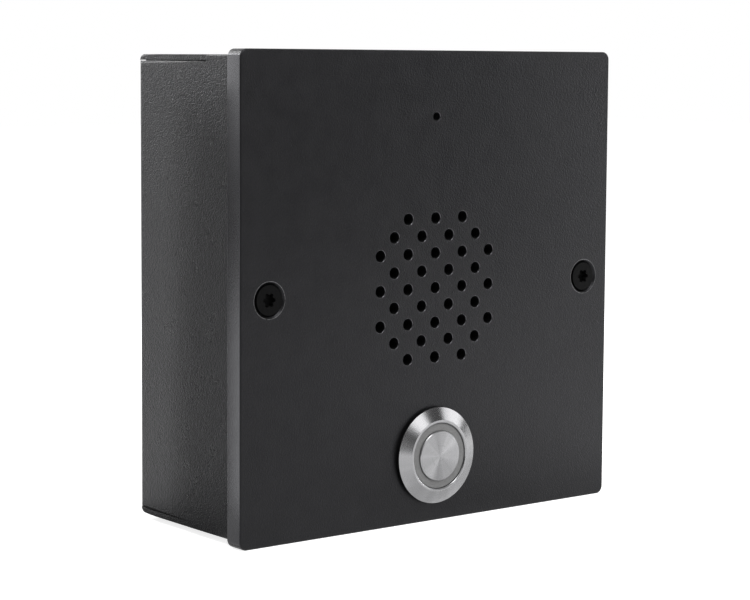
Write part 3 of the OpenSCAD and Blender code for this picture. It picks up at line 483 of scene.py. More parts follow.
def make_screws():
    screw = turned("plate_screw_left", [
        (HEAD_R - HEAD_EDGE, 0), (HEAD_R - 0.04, -0.04), (HEAD_R, -HEAD_EDGE), (HEAD_R, -HEAD_LAND),
        (SCREW_R, -HEAD_DEEP), (SCREW_R, SCREW_POINT - SCREW_LEN), (SCREW_R - 0.4, -SCREW_LEN),
    ], 64)
    cut_away(screw, lobe_cutter(), crossing=True)
    break_edges(screw, width=0.07, angle=35)
    smooth(screw)
    twin = copied(screw, "plate_screw_right")
    stand_up(screw, -SCREW_X, 0, SCREW_TOP)
    stand_up(twin, SCREW_X, 0, SCREW_TOP)
    for piece in (screw, twin):
        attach(piece, "panel")
        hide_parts("faceplate_screws")
    return [screw, twin]


# Call button

def flat_cutter():
    """The block that planes the flat along the barrel's upper side, up to the flange."""
    low, high = BARREL_R - BARREL_FLAT, BARREL_R + CUT_PAST
    end, start = SEAL_T - 0.02, -BARREL_DEEP - CUT_PAST
    clear_selection()
    bpy.ops.mesh.primitive_cube_add(
        size=1, location=(0, (low + high) / 2 * MM, (end + start) / 2 * MM),
        scale=(2 * high * MM, (high - low) * MM, (end - start) * MM),
    )
    block = bpy.context.object
    settle(block)
    return block


def make_bezel():
    """Flange and barrel in one, with a rounded lip round the light ring and a sloped outer face."""
    lip = [(0.0, -0.3), (0.06, -0.15), (0.18, -0.04), (0.35, 0.0)]
    bezel = turned("steel_bezel", closed(
        [(BEZEL_BORE_R + step, BEZEL_TOP + drop) for step, drop in lip] + [
            (BEZEL_FACE_R, BEZEL_TOP), (BEZEL_R, BEZEL_LAND_TOP), (BEZEL_R, SEAL_T), (BARREL_R, SEAL_T),
            (BARREL_R, -BARREL_DEEP), (BARREL_BORE_R, -BARREL_DEEP),
            (BARREL_BORE_R, -BEZEL_STEP_DEEP), (BEZEL_BORE_R, -BEZEL_STEP_DEEP),
        ]), 128)
    cut_away(bezel, flat_cutter())
    break_edges(bezel, width=0.11, steps=3, angle=18)
    return bezel


def make_button():
    bezel = make_bezel()
    seal_r = BEZEL_R - SEAL_INSET
    seal = turned("rubber_seal", closed([
        (BARREL_HOLE_R, 0.0), (seal_r, 0.0), (seal_r, SEAL_T), (BARREL_HOLE_R, SEAL_T),
    ]), 96)
    break_edges(seal, width=0.2, steps=3)
    ring = turned("grey_light_ring", closed([
        (STEM_HOLE_R, CAP_SEAT), (RING_IN_R, CAP_SEAT), (RING_IN_R, RING_TOP), (RING_R, RING_TOP),
        (RING_R, RING_FOOT_TOP), (RING_FOOT_R, RING_FOOT_TOP), (RING_FOOT_R, RING_FOOT_LOW),
        (SKIRT_BORE_R, RING_FOOT_LOW), (SKIRT_BORE_R, SKIRT_ROOF), (STEM_HOLE_R, SKIRT_ROOF),
    ]), 96)
    break_edges(ring, width=0.08)
    cap = turned("spun_cap", [
        (CAP_R - CAP_EDGE, CAP_TOP), (CAP_R, CAP_TOP - CAP_EDGE), (CAP_R, CAP_SEAT),
        (STEM_R, CAP_SEAT), (STEM_R, STEM_LOW),
    ], 128)
    break_edges(cap, width=0.05)
    for piece, node, body, slot in (
        (bezel, "button_bezel", "panel", "stainless"),
        (seal, "button_seal", "panel", "rubber"),
        (ring, "light_ring", "button", "diffuser"),
        (cap, "button_cap", "button", "stainless"),
    ):
        smooth(piece)
        stand_up(piece, 0, BUTTON_UP, PLATE_FRONT)
        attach(piece, body)
        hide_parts(node)
    return bezel, seal, ring, cap


# Soft, sprung and wired pieces behind the plate

def make_cloth():
    """Acoustic cloth, stretched flat over the grille's back and pressed thinner at its sealed rim."""
    top, under = CLOTH_T - CLOTH_AIR, CLOTH_AIR
    front = [(r, top) for r in (*CLOTH_RINGS, CLOTH_FREE_R)]
    rim = [(CLOTH_GRIP_R, CLOTH_GRIP_T + CLOTH_AIR), (SPEAKER_R, CLOTH_GRIP_T)]
    back = [(r, under) for r in (SPEAKER_R, CLOTH_GRIP_R, *reversed(CLOTH_RINGS))]
    cloth = turned("grille_mesh_cloth", front + rim + back, 96)
    smooth(cloth)
    stand_up(cloth, 0, 0, CLOTH_BACK)
    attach(cloth, "panel")
    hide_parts("grille_cloth")
    return cloth


def make_foams():
    """The two foam seals, with the soft rounded edges of cut foam."""
    frame_seal = refined_copy("plate_foam_seal", "faceplate_gasket")
    break_edges(frame_seal, width=0.3, steps=3, angle=40)
    ring_seal = turned("speaker_foam_ring", closed([
        (FOAM_RING_IN_R, 0.0), (SPEAKER_R, 0.0), (SPEAKER_R, FOAM_RING_T), (FOAM_RING_IN_R, FOAM_RING_T),
    ]), 96)
    break_edges(ring_seal, width=0.55, steps=4)
    stand_up(ring_seal, 0, 0, SPEAKER_FRONT + SURROUND_T)
    for foam, node in ((frame_seal, "faceplate_gasket"), (ring_seal, "speaker_gasket")):
        smooth(foam)
        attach(foam, "panel")
        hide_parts(node)
    return frame_seal, ring_seal


def follow_round(piece, still_r, moving_r):
    """Bakes the piece's place into its mesh and works out how far each point lies from still_r towards
    moving_r, but moves no point, so the piece does not bend.
    """
    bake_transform(piece)
    for point in piece.data.vertices:
        t = (still_r - math.hypot(point.co.x, point.co.z) / MM) / (still_r - moving_r)
        t = min(1.0, max(0.0, t))


def make_surround():
    """The cone's rubber surround: two flat lips and a half roll between them."""
    inner = ROLL_R - SURROUND_T / 2
    outer = ROLL_R + SURROUND_T / 2
    lift = math.degrees(math.asin(SURROUND_T / outer))
    steps = 12
    upper, under = [], []
    for step in range(steps + 1):
        turn = math.radians(180 - lift - (180 - 2 * lift) * step / steps)
        upper.append((ROLL_MIDDLE_R + outer * math.cos(turn), outer * math.sin(turn)))
        turn = math.radians(180 * step / steps)
        under.append((ROLL_MIDDLE_R + inner * math.cos(turn), inner * math.sin(turn)))
    rim = SPEAKER_R - SURROUND_AIR
    inner_lip = [(CONE_LIP_R, 0.0), (CONE_LIP_R, SURROUND_T)]
    outer_lip = [(rim, SURROUND_T), (rim, 0.0)]
    surround = turned("roll_surround", closed(inner_lip + upper + outer_lip + under), 96)
    smooth(surround, angle=50)
    stand_up(surround, 0, 0, SPEAKER_FRONT)
    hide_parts("speaker_surround")
    follow_round(surround, ROLL_MIDDLE_R + ROLL_R, ROLL_MIDDLE_R - ROLL_R)
    return surround


def make_spider():
    """The corrugated disc that centres the coil, as the source's three waves, drawn finer."""
    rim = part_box("spider")[1].x / MM
    waved = rim - SPIDER_RIM_W
    steps = 48
    upper = []
    for step in range(steps + 1):
        r = SPIDER_IN_R + (rim - SPIDER_IN_R) * step / steps
        turn = 2 * math.pi * SPIDER_WAVES * (waved - r) / (waved - SPIDER_IN_R)
        wave = SPIDER_WAVE_H * math.sin(turn) if r < waved else 0.0
        upper.append((r, wave - SPIDER_DEEP))
    lower = [(r, height - SPIDER_T) for r, height in reversed(upper)]
    spider = turned("corrugated_spider", closed(upper + lower), 96)
    smooth(spider, angle=50)
    stand_up(spider, 0, 0, SPEAKER_FRONT)
    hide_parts("spider")
    follow_round(spider, waved, SPIDER_IN_R + SPIDER_GLUE)
    return spider


def tube(name, path, radius, sides):
    """A round wire along a smooth path of points in metres, closed at its ends."""
    clear_selection()
    bpy.ops.curve.primitive_bezier_curve_add(location=(0, 0, 0))
    wire = bpy.context.object
    wire.name = wire.data.name = name
    spline = wire.data.splines[0]
    spline.bezier_points.add(len(path) - 2)
    for place, point in zip(path, spline.bezier_points):
        point.co = place
        point.handle_left_type = point.handle_right_type = "AUTO"
    wire.data.resolution_u = 8
    wire.data.bevel_depth = radius
    wire.data.bevel_resolution = sides // 4 - 1
    wire.data.use_fill_caps = True
    choose(wire)
    bpy.ops.object.convert(target="MESH")
    wire = bpy.context.object
    wire.data.name = name
    bpy.ops.object.mode_set(mode="EDIT")
    bpy.ops.mesh.select_all(action="SELECT")
    bpy.ops.mesh.remove_doubles(threshold=1e-6)
    bpy.ops.mesh.normals_make_consistent(inside=False)
    bpy.ops.object.mode_set(mode="OBJECT")
    smooth(wire, angle=40)
    return wire


def make_spring():
    """The return spring: round wire, wound close for most of a turn at each end."""
    turns, steps, close, close_pitch = 6.0, 24, 0.8, 0.66
    height = SPRING_HIGH - SPRING_LOW
    pitch = (height - 2 * close * close_pitch) / (turns - 2 * close)
    path = []
    for step in range(int(turns * steps) + 1):
        turn = step / steps
        open_turns = min(max(turn - close, 0.0), turns - 2 * close)
        out = PLATE_FRONT + SPRING_LOW + open_turns * pitch + (turn - open_turns) * close_pitch
        angle = 2 * math.pi * turn
        path.append(at(SPRING_R * math.cos(angle), BUTTON_UP + SPRING_R * math.sin(angle), out))
    spring = tube("wound_return_spring", path, SPRING_WIRE_R * MM, 12)
    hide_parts("return_spring")
    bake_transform(spring)
    return spring


# Each route starts at a tag, a capsule's leg or a contact, and ends in its plug on the board
LEAD_ROUTES = (
    ("speaker_lead", "speaker_leads", "red_lead", (
        (33.8, 3, 38.55), (36.4, 3, 37.95), (38.4, 2.8, 34.55),
        (38.2, 2.3, 28.5), (35.3, 1.27, 23.5), (34.5, 1.27, 20.55),
    )),
    ("microphone_lead", "microphone_leads", "white_lead", (
        (1.27, 45.9, 39.85), (1.27, 45.9, 36.85), (1.6, 44.5, 31.85),
        (1.6, 41.1, 26.5), (1.27, 39.9, 23.0), (1.27, 39.9, 20.55),
    )),
    ("button_lead", "button_leads", "dark_lead", (
        (5.2, BUTTON_UP, 17.45), (5.2, BUTTON_UP + 0.2, 14.45), (5, BUTTON_UP + 3, 12.45),
        (4.6, BUTTON_UP + 7, 13.25), (4.2, -32.05, 17.3), (4, -28.05, 18.1),
    )),
)


def make_leads():
    """The short leads between the inner parts: fixed at both ends, and a mirrored pair to each route."""
    leads = []
    for name, node, slot, route in LEAD_ROUTES:
        for label, way in (("a", 1), ("b", -1)):
            mirrored_up = way if node == "speaker_leads" else 1
            mirrored_x = 1 if node == "speaker_leads" else way
            path = [at(x * mirrored_x, up * mirrored_up, out) for x, up, out in route]
            lead = tube(f"{name}_{label}", path, LEAD_R * MM, 16)
            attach(lead, "panel")
            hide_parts(node)
            leads.append((lead, slot))
    return leads


plate = make_faceplate()
box = make_back_box()
screws = make_screws()
bezel, seal, ring, cap = make_button()
cloth = make_cloth()
foams = make_foams()
surround = make_surround()
spider = make_spider()
spring = make_spring()
leads = make_leads()


# Finishes: node steps that the effects and the studio share

def add(tree, kind, **settings):
    node = tree.nodes.new("ShaderNode" + kind)
    for key, value in settings.items():
        setattr(node, key, value)
    return node


def feed(tree, node, socket, source):
    """Sets a socket's value, or links it when the source is another socket."""
    if isinstance(source, bpy.types.NodeSocket):
        tree.links.new(source, node.inputs[socket])
    else:
        node.inputs[socket].default_value = source


def math_of(tree, operation, *sources):
    node = add(tree, "Math", operation=operation)
    for place, source in enumerate(sources):
        feed(tree, node, place, source)
    return node.outputs[0]


def shared_sum(tree, first, second, first_share):
    """first_share of the first value, and the rest of the second."""
    part = math_of(tree, "MULTIPLY", first, first_share)
    return math_of(tree, "ADD", part, math_of(tree, "MULTIPLY", second, 1 - first_share))


def noise(tree, vector, scale, detail=2.0, roughness=0.55):
    node = add(tree, "TexNoise")
    for socket, value in (
        ("Vector", vector), ("Scale", scale), ("Detail", detail), ("Roughness", roughness),
    ):
        feed(tree, node, socket, value)
    return node.outputs["Fac"]


def ramp_value(tree, source, low, high, to_low=0.0, to_high=1.0):
    node = add(tree, "MapRange")
    for socket, value in (
        ("Value", source), ("From Min", low), ("From Max", high), ("To Min", to_low), ("To Max", to_high),
    ):
        feed(tree, node, socket, value)
    return node.outputs[0]


def colour_between(tree, share, deep, light):
    """Mixes two colours. The node repeats its socket names, so they are reached by number."""
    node = add(tree, "Mix", data_type="RGBA")
    for place, value in ((0, share), (6, deep), (7, light)):
        feed(tree, node, place, value)
    return node.outputs[2]


# Effects that several finishes share are node groups. Most of a noise lies between these two values.
NOISE_LOW, NOISE_HIGH = 0.3, 0.7


def new_effect(name, *own_inputs):
    """An effect's empty group, with its own inputs, and the inputs and outputs that all effects have."""
    group = bpy.data.node_groups.new(name, "ShaderNodeTree")
    inputs = [("Vector", "Vector")] + [(label, "Float") for label in own_inputs] + [
        ("Deep Colour", "Color"), ("Light Colour", "Color"),
        ("Least Roughness", "Float"), ("Most Roughness", "Float"),
    ]
    for label, kind in inputs:
        group.interface.new_socket(label, in_out="INPUT", socket_type="NodeSocket" + kind)
    for label, kind in (("Colour", "Color"), ("Roughness", "Float"), ("Height", "Float")):
        group.interface.new_socket(label, in_out="OUTPUT", socket_type="NodeSocket" + kind)
    return group, group.nodes.new("NodeGroupInput").outputs


def end_effect(group, given, share, changing, height):
    """Gives the group its outputs: share moves the colour, changing the roughness, and height the bump."""
    result = group.nodes.new("NodeGroupOutput")
    colour = colour_between(group, share, given["Deep Colour"], given["Light Colour"])
    rough = ramp_value(
        group, changing, NOISE_LOW, NOISE_HIGH, given["Least Roughness"], given["Most Roughness"])
    feed(group, result, "Colour", colour)
    feed(group, result, "Roughness", rough)
    feed(group, result, "Height", height)
    return group


def make_surface_grain():
    """Fine grain over slow patches, for plated, moulded and sheet surfaces."""
    group, given = new_effect("surface_grain", "Grain Scale", "Patch Scale")
    grain = noise(group, given["Vector"], given["Grain Scale"], 3.0)
    patch = noise(group, given["Vector"], given["Patch Scale"])
    share = ramp_value(group, shared_sum(group, grain, patch, 0.6), NOISE_LOW, NOISE_HIGH)
    return end_effect(group, given, share, patch, grain)


def make_powder_texture():
    """The baked powder's peel: rounded grains of two sizes, with the hollows between them darker as painted
    shade, and a random mottle in the tone.
    """
    group, given = new_effect("powder_texture", "Grain Scale", "Mottle Scale", "Coarse Share")
    vector = given["Vector"]
    grain = noise(group, vector, given["Grain Scale"], roughness=0.6)
    coarse = noise(group, vector, math_of(group, "MULTIPLY", given["Grain Scale"], 0.42), 1.0)
    mottle = noise(group, vector, given["Mottle Scale"], 3.0)
    height = math_of(group, "ADD", grain, math_of(group, "MULTIPLY", coarse, given["Coarse Share"]))
    # Painted shade: the colour is darkest where the fine grain is low, in its hollows; the mottle adds random
    # tone.
    share = ramp_value(group, math_of(group, "ADD", grain, mottle), 0.75, 1.25)
    return end_effect(group, given, share, mottle, height)


def make_turning_marks():
    """Tool lines round the y axis: close circles of varying depth, and slow lighter and darker parts round
    the turn, painted in the colour as a stand-in for the bow-tie reflections of spun steel.
    """
    group, given = new_effect("turning_marks", "Line Scale", "Sector Scale")
    parts = add(group, "SeparateXYZ")
    feed(group, parts, 0, given["Vector"])
    flat = add(group, "CombineXYZ")
    feed(group, flat, "X", parts.outputs["X"])
    feed(group, flat, "Y", parts.outputs["Z"])
    length = add(group, "VectorMath", operation="LENGTH")
    feed(group, length, 0, flat.outputs[0])
    lines = add(group, "TexNoise", noise_dimensions="1D")
    feed(group, lines, "W", math_of(group, "MULTIPLY", length.outputs["Value"], given["Line Scale"]))
    feed(group, lines, "Scale", 1.0)
    feed(group, lines, "Detail", 3.0)
    depth = lines.outputs["Fac"]
    turn = add(group, "VectorMath", operation="NORMALIZE")
    feed(group, turn, 0, flat.outputs[0])
    # Painted reflection: slow noise round the turn lightens and darkens the colour in wedges, like the
    # bow-tie sheen of spun steel.
    painted_sheen_sectors = noise(group, turn.outputs["Vector"], given["Sector Scale"])
    share = ramp_value(group, shared_sum(group, depth, painted_sheen_sectors, 0.5), 0.32, 0.68)
    return end_effect(group, given, share, depth, depth)


def make_woven_cloth():
    """Plain weave: threads over and under in a close square grid."""
    group, given = new_effect("woven_cloth", "Threads")
    parts = add(group, "SeparateXYZ")
    feed(group, parts, 0, given["Vector"])
    waves = []
    for axis in ("X", "Z"):
        turn = math_of(group, "MULTIPLY", parts.outputs[axis], given["Threads"])
        waves.append(math_of(group, "ABSOLUTE", math_of(group, "SINE", turn)))
    height = math_of(group, "MULTIPLY", *waves)
    fuzz = noise(group, given["Vector"], 3000.0)
    return end_effect(group, given, shared_sum(group, height, fuzz, 0.7), fuzz, height)


GRAIN = make_surface_grain()
POWDER = make_powder_texture()
TURNING = make_turning_marks()
WEAVE = make_woven_cloth()


def finish(name, effect, bump, deep, light, least, most, sockets=(), centre=(0, 0, 0), **inputs):
    """A material whose colour, roughness and bump, in mm, come from one of the shared effects."""
    material = bpy.data.materials.new(name)
    material.use_nodes = True
    tree = material.node_tree
    shader = tree.nodes["Principled BSDF"]
    place = add(tree, "TexCoord")
    shift = add(tree, "Mapping")
    feed(tree, shift, "Vector", place.outputs["Object"])
    shift.inputs["Location"].default_value = [-part for part in centre]
    look = add(tree, "Group", node_tree=effect)
    for socket, value in (
        ("Vector", shift.outputs[0]), ("Deep Colour", (*deep, 1.0)), ("Light Colour", (*light, 1.0)),
        ("Least Roughness", least), ("Most Roughness", most),
    ):
        feed(tree, look, socket, value)
    for key, value in inputs.items():
        feed(tree, look, key.replace("_", " "), value)
    relief = add(tree, "Bump")
    relief.inputs["Strength"].default_value = 1.0
    relief.inputs["Distance"].default_value = bump * MM
    feed(tree, relief, "Height", look.outputs["Height"])
    feed(tree, shader, "Base Color", look.outputs["Colour"])
    feed(tree, shader, "Roughness", look.outputs["Roughness"])
    feed(tree, shader, "Normal", relief.outputs[0])
    for socket, value in sockets:
        shader.inputs[socket].default_value = value
    return material


def grained(name, bump, sockets, grain, patch, deep, light, least, most):
    return finish(
        name, GRAIN, bump, deep, light, least, most, sockets, Grain_Scale=grain, Patch_Scale=patch)


def coat(name, bump, coarse, deep, light, least, most, gloss):
    """Black powder coat; coarse is the share of the larger grains."""
    sockets = (("Specular IOR Level", gloss), ("Specular Tint", (0.93, 0.93, 1, 1)))
    return finish(
        name, POWDER, bump, deep, light, least, most, sockets,
        Grain_Scale=2400.0, Mottle_Scale=160.0, Coarse_Share=coarse,
    )


def woven(name, deep, light, least, most):
    return finish(name, WEAVE, 0.08, deep, light, least, most, Threads=4500.0)


METAL = (("Metallic", 1.0),)


def turned_steel(name, bump, line, painted_sheen_sectors, deep, light, least, most, stretch):
    """Steel with tool lines round the button's axis, which stretch its reflections across them, and with
    painted reflection sectors in its colour.
    """
    material = finish(
        name, TURNING, bump, deep, light, least, most, METAL, at(0, BUTTON_UP, PLATE_FRONT),
        Line_Scale=line, Sector_Scale=painted_sheen_sectors,
    )
    tree = material.node_tree
    shader = tree.nodes["Principled BSDF"]
    shader.inputs["Anisotropic"].default_value = stretch
    quarter_turn = 0.25
    shader.inputs["Anisotropic Rotation"].default_value = quarter_turn
    along = add(tree, "Tangent", direction_type="RADIAL", axis="Y")
    feed(tree, shader, "Tangent", along.outputs[0])
    return material


# Each coat's deep colour falls in the grain's hollows as painted shade, and its light colour on the grain's
# tops.
plate_coat = coat(
    "plate_powder_coat", 0.09, 0.3, (0.0035, 0.0035, 0.0037), (0.0065, 0.0065, 0.0068), 0.3, 0.36, 0.2)
edge_coat = coat(
    "edge_powder_coat", 0.02, 0.3, (0.004, 0.004, 0.0042), (0.007, 0.007, 0.0073), 0.22, 0.26, 0.85)
box_coat = coat(
    "box_powder_coat", 0.28, 0.35, (0.003, 0.003, 0.0032), (0.008, 0.008, 0.0084), 0.26, 0.34, 0.25)
# The turned steels' deep and light colours span the painted reflection wedges as well as the tool lines'
# tone.
bezel_steel = turned_steel(
    "bezel_turned_steel", 0.0012, 9000.0, 3.0,
    (0.21, 0.21, 0.215), (0.29, 0.29, 0.296), 0.17, 0.25, stretch=0.6)
cap_steel = turned_steel(
    "cap_spun_steel", 0.002, 12000.0, 1.25,
    (0.15, 0.15, 0.154), (0.355, 0.355, 0.362), 0.26, 0.36, stretch=0.75)
screw_black = grained(
    "screw_black_oxide", 0.012, (("Specular IOR Level", 0.05),), 1900.0, 500.0,
    (0.0015, 0.0015, 0.0016), (0.004, 0.004, 0.0042), 0.5, 0.65)
bare_rim = grained(
    "worn_sink_rim", 0.01, METAL, 2600.0, 900.0,
    (0.03, 0.03, 0.031), (0.16, 0.16, 0.164), 0.25, 0.4)
ring_grey = grained(
    "ring_grey_diffuser", 0.01,
    (("Subsurface Weight", 0.15), ("Subsurface Radius", (0.4, 0.4, 0.4)), ("Subsurface Scale", 0.001)),
    3500.0, 700.0, (0.13, 0.13, 0.13), (0.2, 0.2, 0.2), 0.42, 0.55)
seal_rubber = grained(
    "seal_black_rubber", 0.01, (), 1800.0, 400.0,
    (0.004, 0.004, 0.004), (0.009, 0.009, 0.009), 0.6, 0.75)

# Bump, fixed sockets, grain and patch scale, deep and light colour, least and most roughness
SLOT_FINISHES = {
    "black_steel": (0.008, (), 1500.0, 120.0, (0.01, 0.01, 0.01), (0.02, 0.02, 0.021), 0.4, 0.55),
    "zinc": (0.004, METAL, 2600.0, 240.0, (0.42, 0.43, 0.45), (0.58, 0.59, 0.6), 0.28, 0.42),
    "soft_iron": (0.006, METAL, 1900.0, 160.0, (0.32, 0.33, 0.35), (0.46, 0.47, 0.49), 0.35, 0.5),
    "spring_steel": (0.002, METAL, 3200.0, 600.0, (0.5, 0.5, 0.52), (0.66, 0.66, 0.68), 0.2, 0.3),
    "brass": (0.003, METAL, 2400.0, 300.0, (0.62, 0.43, 0.15), (0.76, 0.57, 0.26), 0.25, 0.4),
    "copper": (0.01, METAL, 5200.0, 500.0, (0.5, 0.19, 0.07), (0.68, 0.33, 0.16), 0.25, 0.38),
    "ferrite": (0.02, (), 1400.0, 90.0, (0.04, 0.04, 0.044), (0.075, 0.075, 0.08), 0.5, 0.7),
    "rubber": (0.015, (), 1600.0, 180.0, (0.012, 0.012, 0.012), (0.024, 0.024, 0.024), 0.55, 0.72),
    "foam": (0.06, (), 1100.0, 200.0, (0.012, 0.012, 0.012), (0.034, 0.034, 0.034), 0.8, 0.95),
    "paper": (0.03, (), 1300.0, 150.0, (0.035, 0.031, 0.027), (0.066, 0.06, 0.052), 0.75, 0.9),
    "board": (0.012, (), 420.0, 60.0, (0.012, 0.12, 0.04), (0.03, 0.2, 0.08), 0.3, 0.42),
    "phenolic": (0.015, (), 900.0, 110.0, (0.19, 0.07, 0.025), (0.31, 0.13, 0.055), 0.4, 0.55),
    "green_plastic": (0.012, (), 1500.0, 90.0, (0.03, 0.25, 0.08), (0.05, 0.34, 0.12), 0.38, 0.5),
    "blue_plastic": (0.008, (), 1500.0, 80.0, (0.015, 0.1, 0.35), (0.03, 0.14, 0.44), 0.25, 0.38),
    "can_sleeve": (0.006, (), 1200.0, 70.0, (0.015, 0.028, 0.065), (0.027, 0.042, 0.095), 0.2, 0.32),
    "black_plastic": (0.012, (), 1700.0, 120.0, (0.01, 0.01, 0.011), (0.02, 0.02, 0.022), 0.42, 0.58),
    "white_plastic": (0.01, (), 1500.0, 90.0, (0.68, 0.65, 0.58), (0.8, 0.77, 0.7), 0.4, 0.52),
    "lamp": (0.004, (), 1500.0, 200.0, (0.78, 0.68, 0.34), (0.9, 0.8, 0.46), 0.15, 0.28),
    "red_lead": (0.006, (), 1500.0, 150.0, (0.38, 0.022, 0.022), (0.5, 0.04, 0.04), 0.4, 0.52),
    "white_lead": (0.006, (), 1500.0, 150.0, (0.58, 0.58, 0.58), (0.7, 0.7, 0.7), 0.4, 0.52),
    "dark_lead": (0.006, (), 1500.0, 150.0, (0.022, 0.022, 0.022), (0.04, 0.04, 0.04), 0.4, 0.52),
}
slot_materials = {slot: grained("finish_" + slot, *values) for slot, values in SLOT_FINISHES.items()}
slot_materials["cloth"] = woven("finish_cloth", (0.004, 0.004, 0.004), (0.016, 0.016, 0.016), 0.85, 0.95)
slot_materials["spider_cloth"] = woven(
    "finish_spider_cloth", (0.42, 0.3, 0.12), (0.62, 0.49, 0.25), 0.6, 0.8)
slot_materials["powder_coat"] = box_coat
slot_materials["stainless"] = bezel_steel
slot_materials["diffuser"] = ring_grey


# Each piece's finish. The plate's second and third material go on chosen faces.
EDGE_PLACE = 1
BARE_PLACE = 2


def wear(piece, *materials):
    piece.data.materials.clear()
    for material in materials:
        piece.data.materials.append(material)


def on_plate_side(face):
    """True on the plate's four narrow sides."""
    reach = (PLATE_W / 2 - PLATE_EDGE_R / 2) * MM
    return max(abs(face.center.x), abs(face.center.z)) > reach and abs(face.normal.y) < 0.5


def on_hole_rim(face):
    """True on the rounded rims of the grille's holes and the microphone's."""
    x, up, out = face.center.x / MM, face.center.z / MM, -face.center.y / MM
    in_grille = max(abs(x), abs(up)) < (GRILLE_REACH + 1) * GRILLE_STEP
    at_microphone = math.hypot(x, up - MIC_UP) < 2 * MIC_HOLE_R
    tilted = 0.2 < -face.normal.y < 0.98
    return (in_grille or at_microphone) and out > PLATE_FRONT - RIM_DEPTH and tilted


def on_sink_rim(face):
    """True on the thin rims of the two screw sinks; the plate's flat front has many more corners."""
    from_screw = math.hypot(abs(face.center.x) / MM - SCREW_X, face.center.z / MM)
    on_rim = SINK_R - 0.02 < from_screw < SINK_R + 0.3
    return on_rim and -face.center.y / MM > PLATE_FRONT - 0.1 and len(face.vertices) < 6


def wear_plate():
    """Textured coat, smoother on the narrow sides and hole rims, and worn bare on the sinks' rims."""
    wear(plate, plate_coat, edge_coat, bare_rim)
    for face in plate.data.polygons:
        if on_sink_rim(face):
            face.material_index = BARE_PLACE
        elif on_plate_side(face) or on_hole_rim(face):
            face.material_index = EDGE_PLACE


for part in frame["record"]["subparts"]:
    wear(frame["nodes"][part["node"]], slot_materials[part["material_slot"]])
wear_plate()
for piece, material in (
    (box, box_coat), (bezel, bezel_steel), (seal, seal_rubber), (ring, ring_grey), (cap, cap_steel),
    (cloth, slot_materials["cloth"]), (surround, slot_materials["rubber"]),
    (spider, slot_materials["spider_cloth"]), (spring, slot_materials["spring_steel"]),
    *((screw, screw_black) for screw in screws),
    *((foam, slot_materials["foam"]) for foam in foams),
    *((lead, slot_materials[slot]) for lead, slot in leads),
):
    wear(piece, material)


# Camera, at the photograph's place

def set_camera():
    right = Vector((0.787416, -0.616389, 0.006319))
    down = Vector((-0.050597, -0.074845, -0.995911))
    forward = Vector((0.614342, 0.783876, -0.090122))
    place = Vector((-0.366002, -0.491086, 0.060522))
    lens = bpy.data.cameras.new("panel_lens")
    lens.sensor_width = 36.0
    lens.lens = 102.841
    lens.shift_y = -0.06
    lens.clip_start = 0.01
    camera = bpy.data.objects.new("panel_camera", lens)
    turn = Matrix((right, -down, -forward)).transposed().to_4x4()
    camera.matrix_world = Matrix.Translation(place) @ turn
    bpy.context.scene.collection.objects.link(camera)
    bpy.context.scene.camera = camera


# Studio: white floor and surroundings, soft lamps, and dark and bright cards that only reflections show, as
# painted reflections; two dark cards on the floor are painted shadow

def shown_directly(tree):
    """1 for rays from the camera, a mirror or a clear piece, else 0."""
    path = add(tree, "LightPath")
    seen = math_of(tree, "MAXIMUM", path.outputs["Is Camera Ray"], path.outputs["Is Glossy Ray"])
    return math_of(tree, "MAXIMUM", seen, path.outputs["Is Transmission Ray"])


def set_world(strength):
    """White where it shows; strength is its light on everything else."""
    world = bpy.data.worlds.new("white_studio")
    bpy.context.scene.world = world
    world.use_nodes = True
    tree = world.node_tree
    background = tree.nodes["Background"]
    background.inputs["Color"].default_value = (1, 1, 1, 1)
    level = ramp_value(tree, shown_directly(tree), 0.0, 1.0, strength, 1.0)
    feed(tree, background, "Strength", level)
    world.cycles.sampling_method = "NONE"


def set_floor():
    clear_selection()
    bpy.ops.mesh.primitive_plane_add(size=6.0, location=(0, 0, -PLATE_W / 2 * MM))
    floor = bpy.context.object
    floor.name = floor.data.name = "studio_floor"
    material = bpy.data.materials.new("white_floor")
    material.use_nodes = True
    tree = material.node_tree
    shader = tree.nodes["Principled BSDF"]
    shader.inputs["Base Color"].default_value = (0.8, 0.8, 0.8, 1)
    shader.inputs["Roughness"].default_value = 0.9
    shader.inputs["Specular IOR Level"].default_value = 0.0
    shader.inputs["Emission Color"].default_value = (1, 1, 1, 1)
    feed(tree, shader, "Emission Strength", math_of(tree, "MULTIPLY", shown_directly(tree), 0.8))
    floor.data.materials.append(material)


def bearing(turn, rise):
    """The direction that is turn degrees round from the front, towards the right, and rise degrees up."""
    t, r = math.radians(turn), math.radians(rise)
    return Vector((math.sin(t) * math.cos(r), -math.cos(t) * math.cos(r), math.sin(r)))


def soft_lamp(name, target, turn, rise, distance, width, height, level):
    """An area lamp that looks at the target; level is how bright it looks, with white at 1."""
    lamp = bpy.data.lights.new(name, "AREA")
    lamp.shape = "RECTANGLE"
    lamp.size = width
    lamp.size_y = height
    lamp.energy = level * math.pi * width * height
    holder = bpy.data.objects.new(name, lamp)
    towards = bearing(turn, rise)
    holder.location = target + towards * distance
    holder.rotation_euler = towards.to_track_quat("Z", "Y").to_euler()
    holder.visible_camera = False
    bpy.context.scene.collection.objects.link(holder)


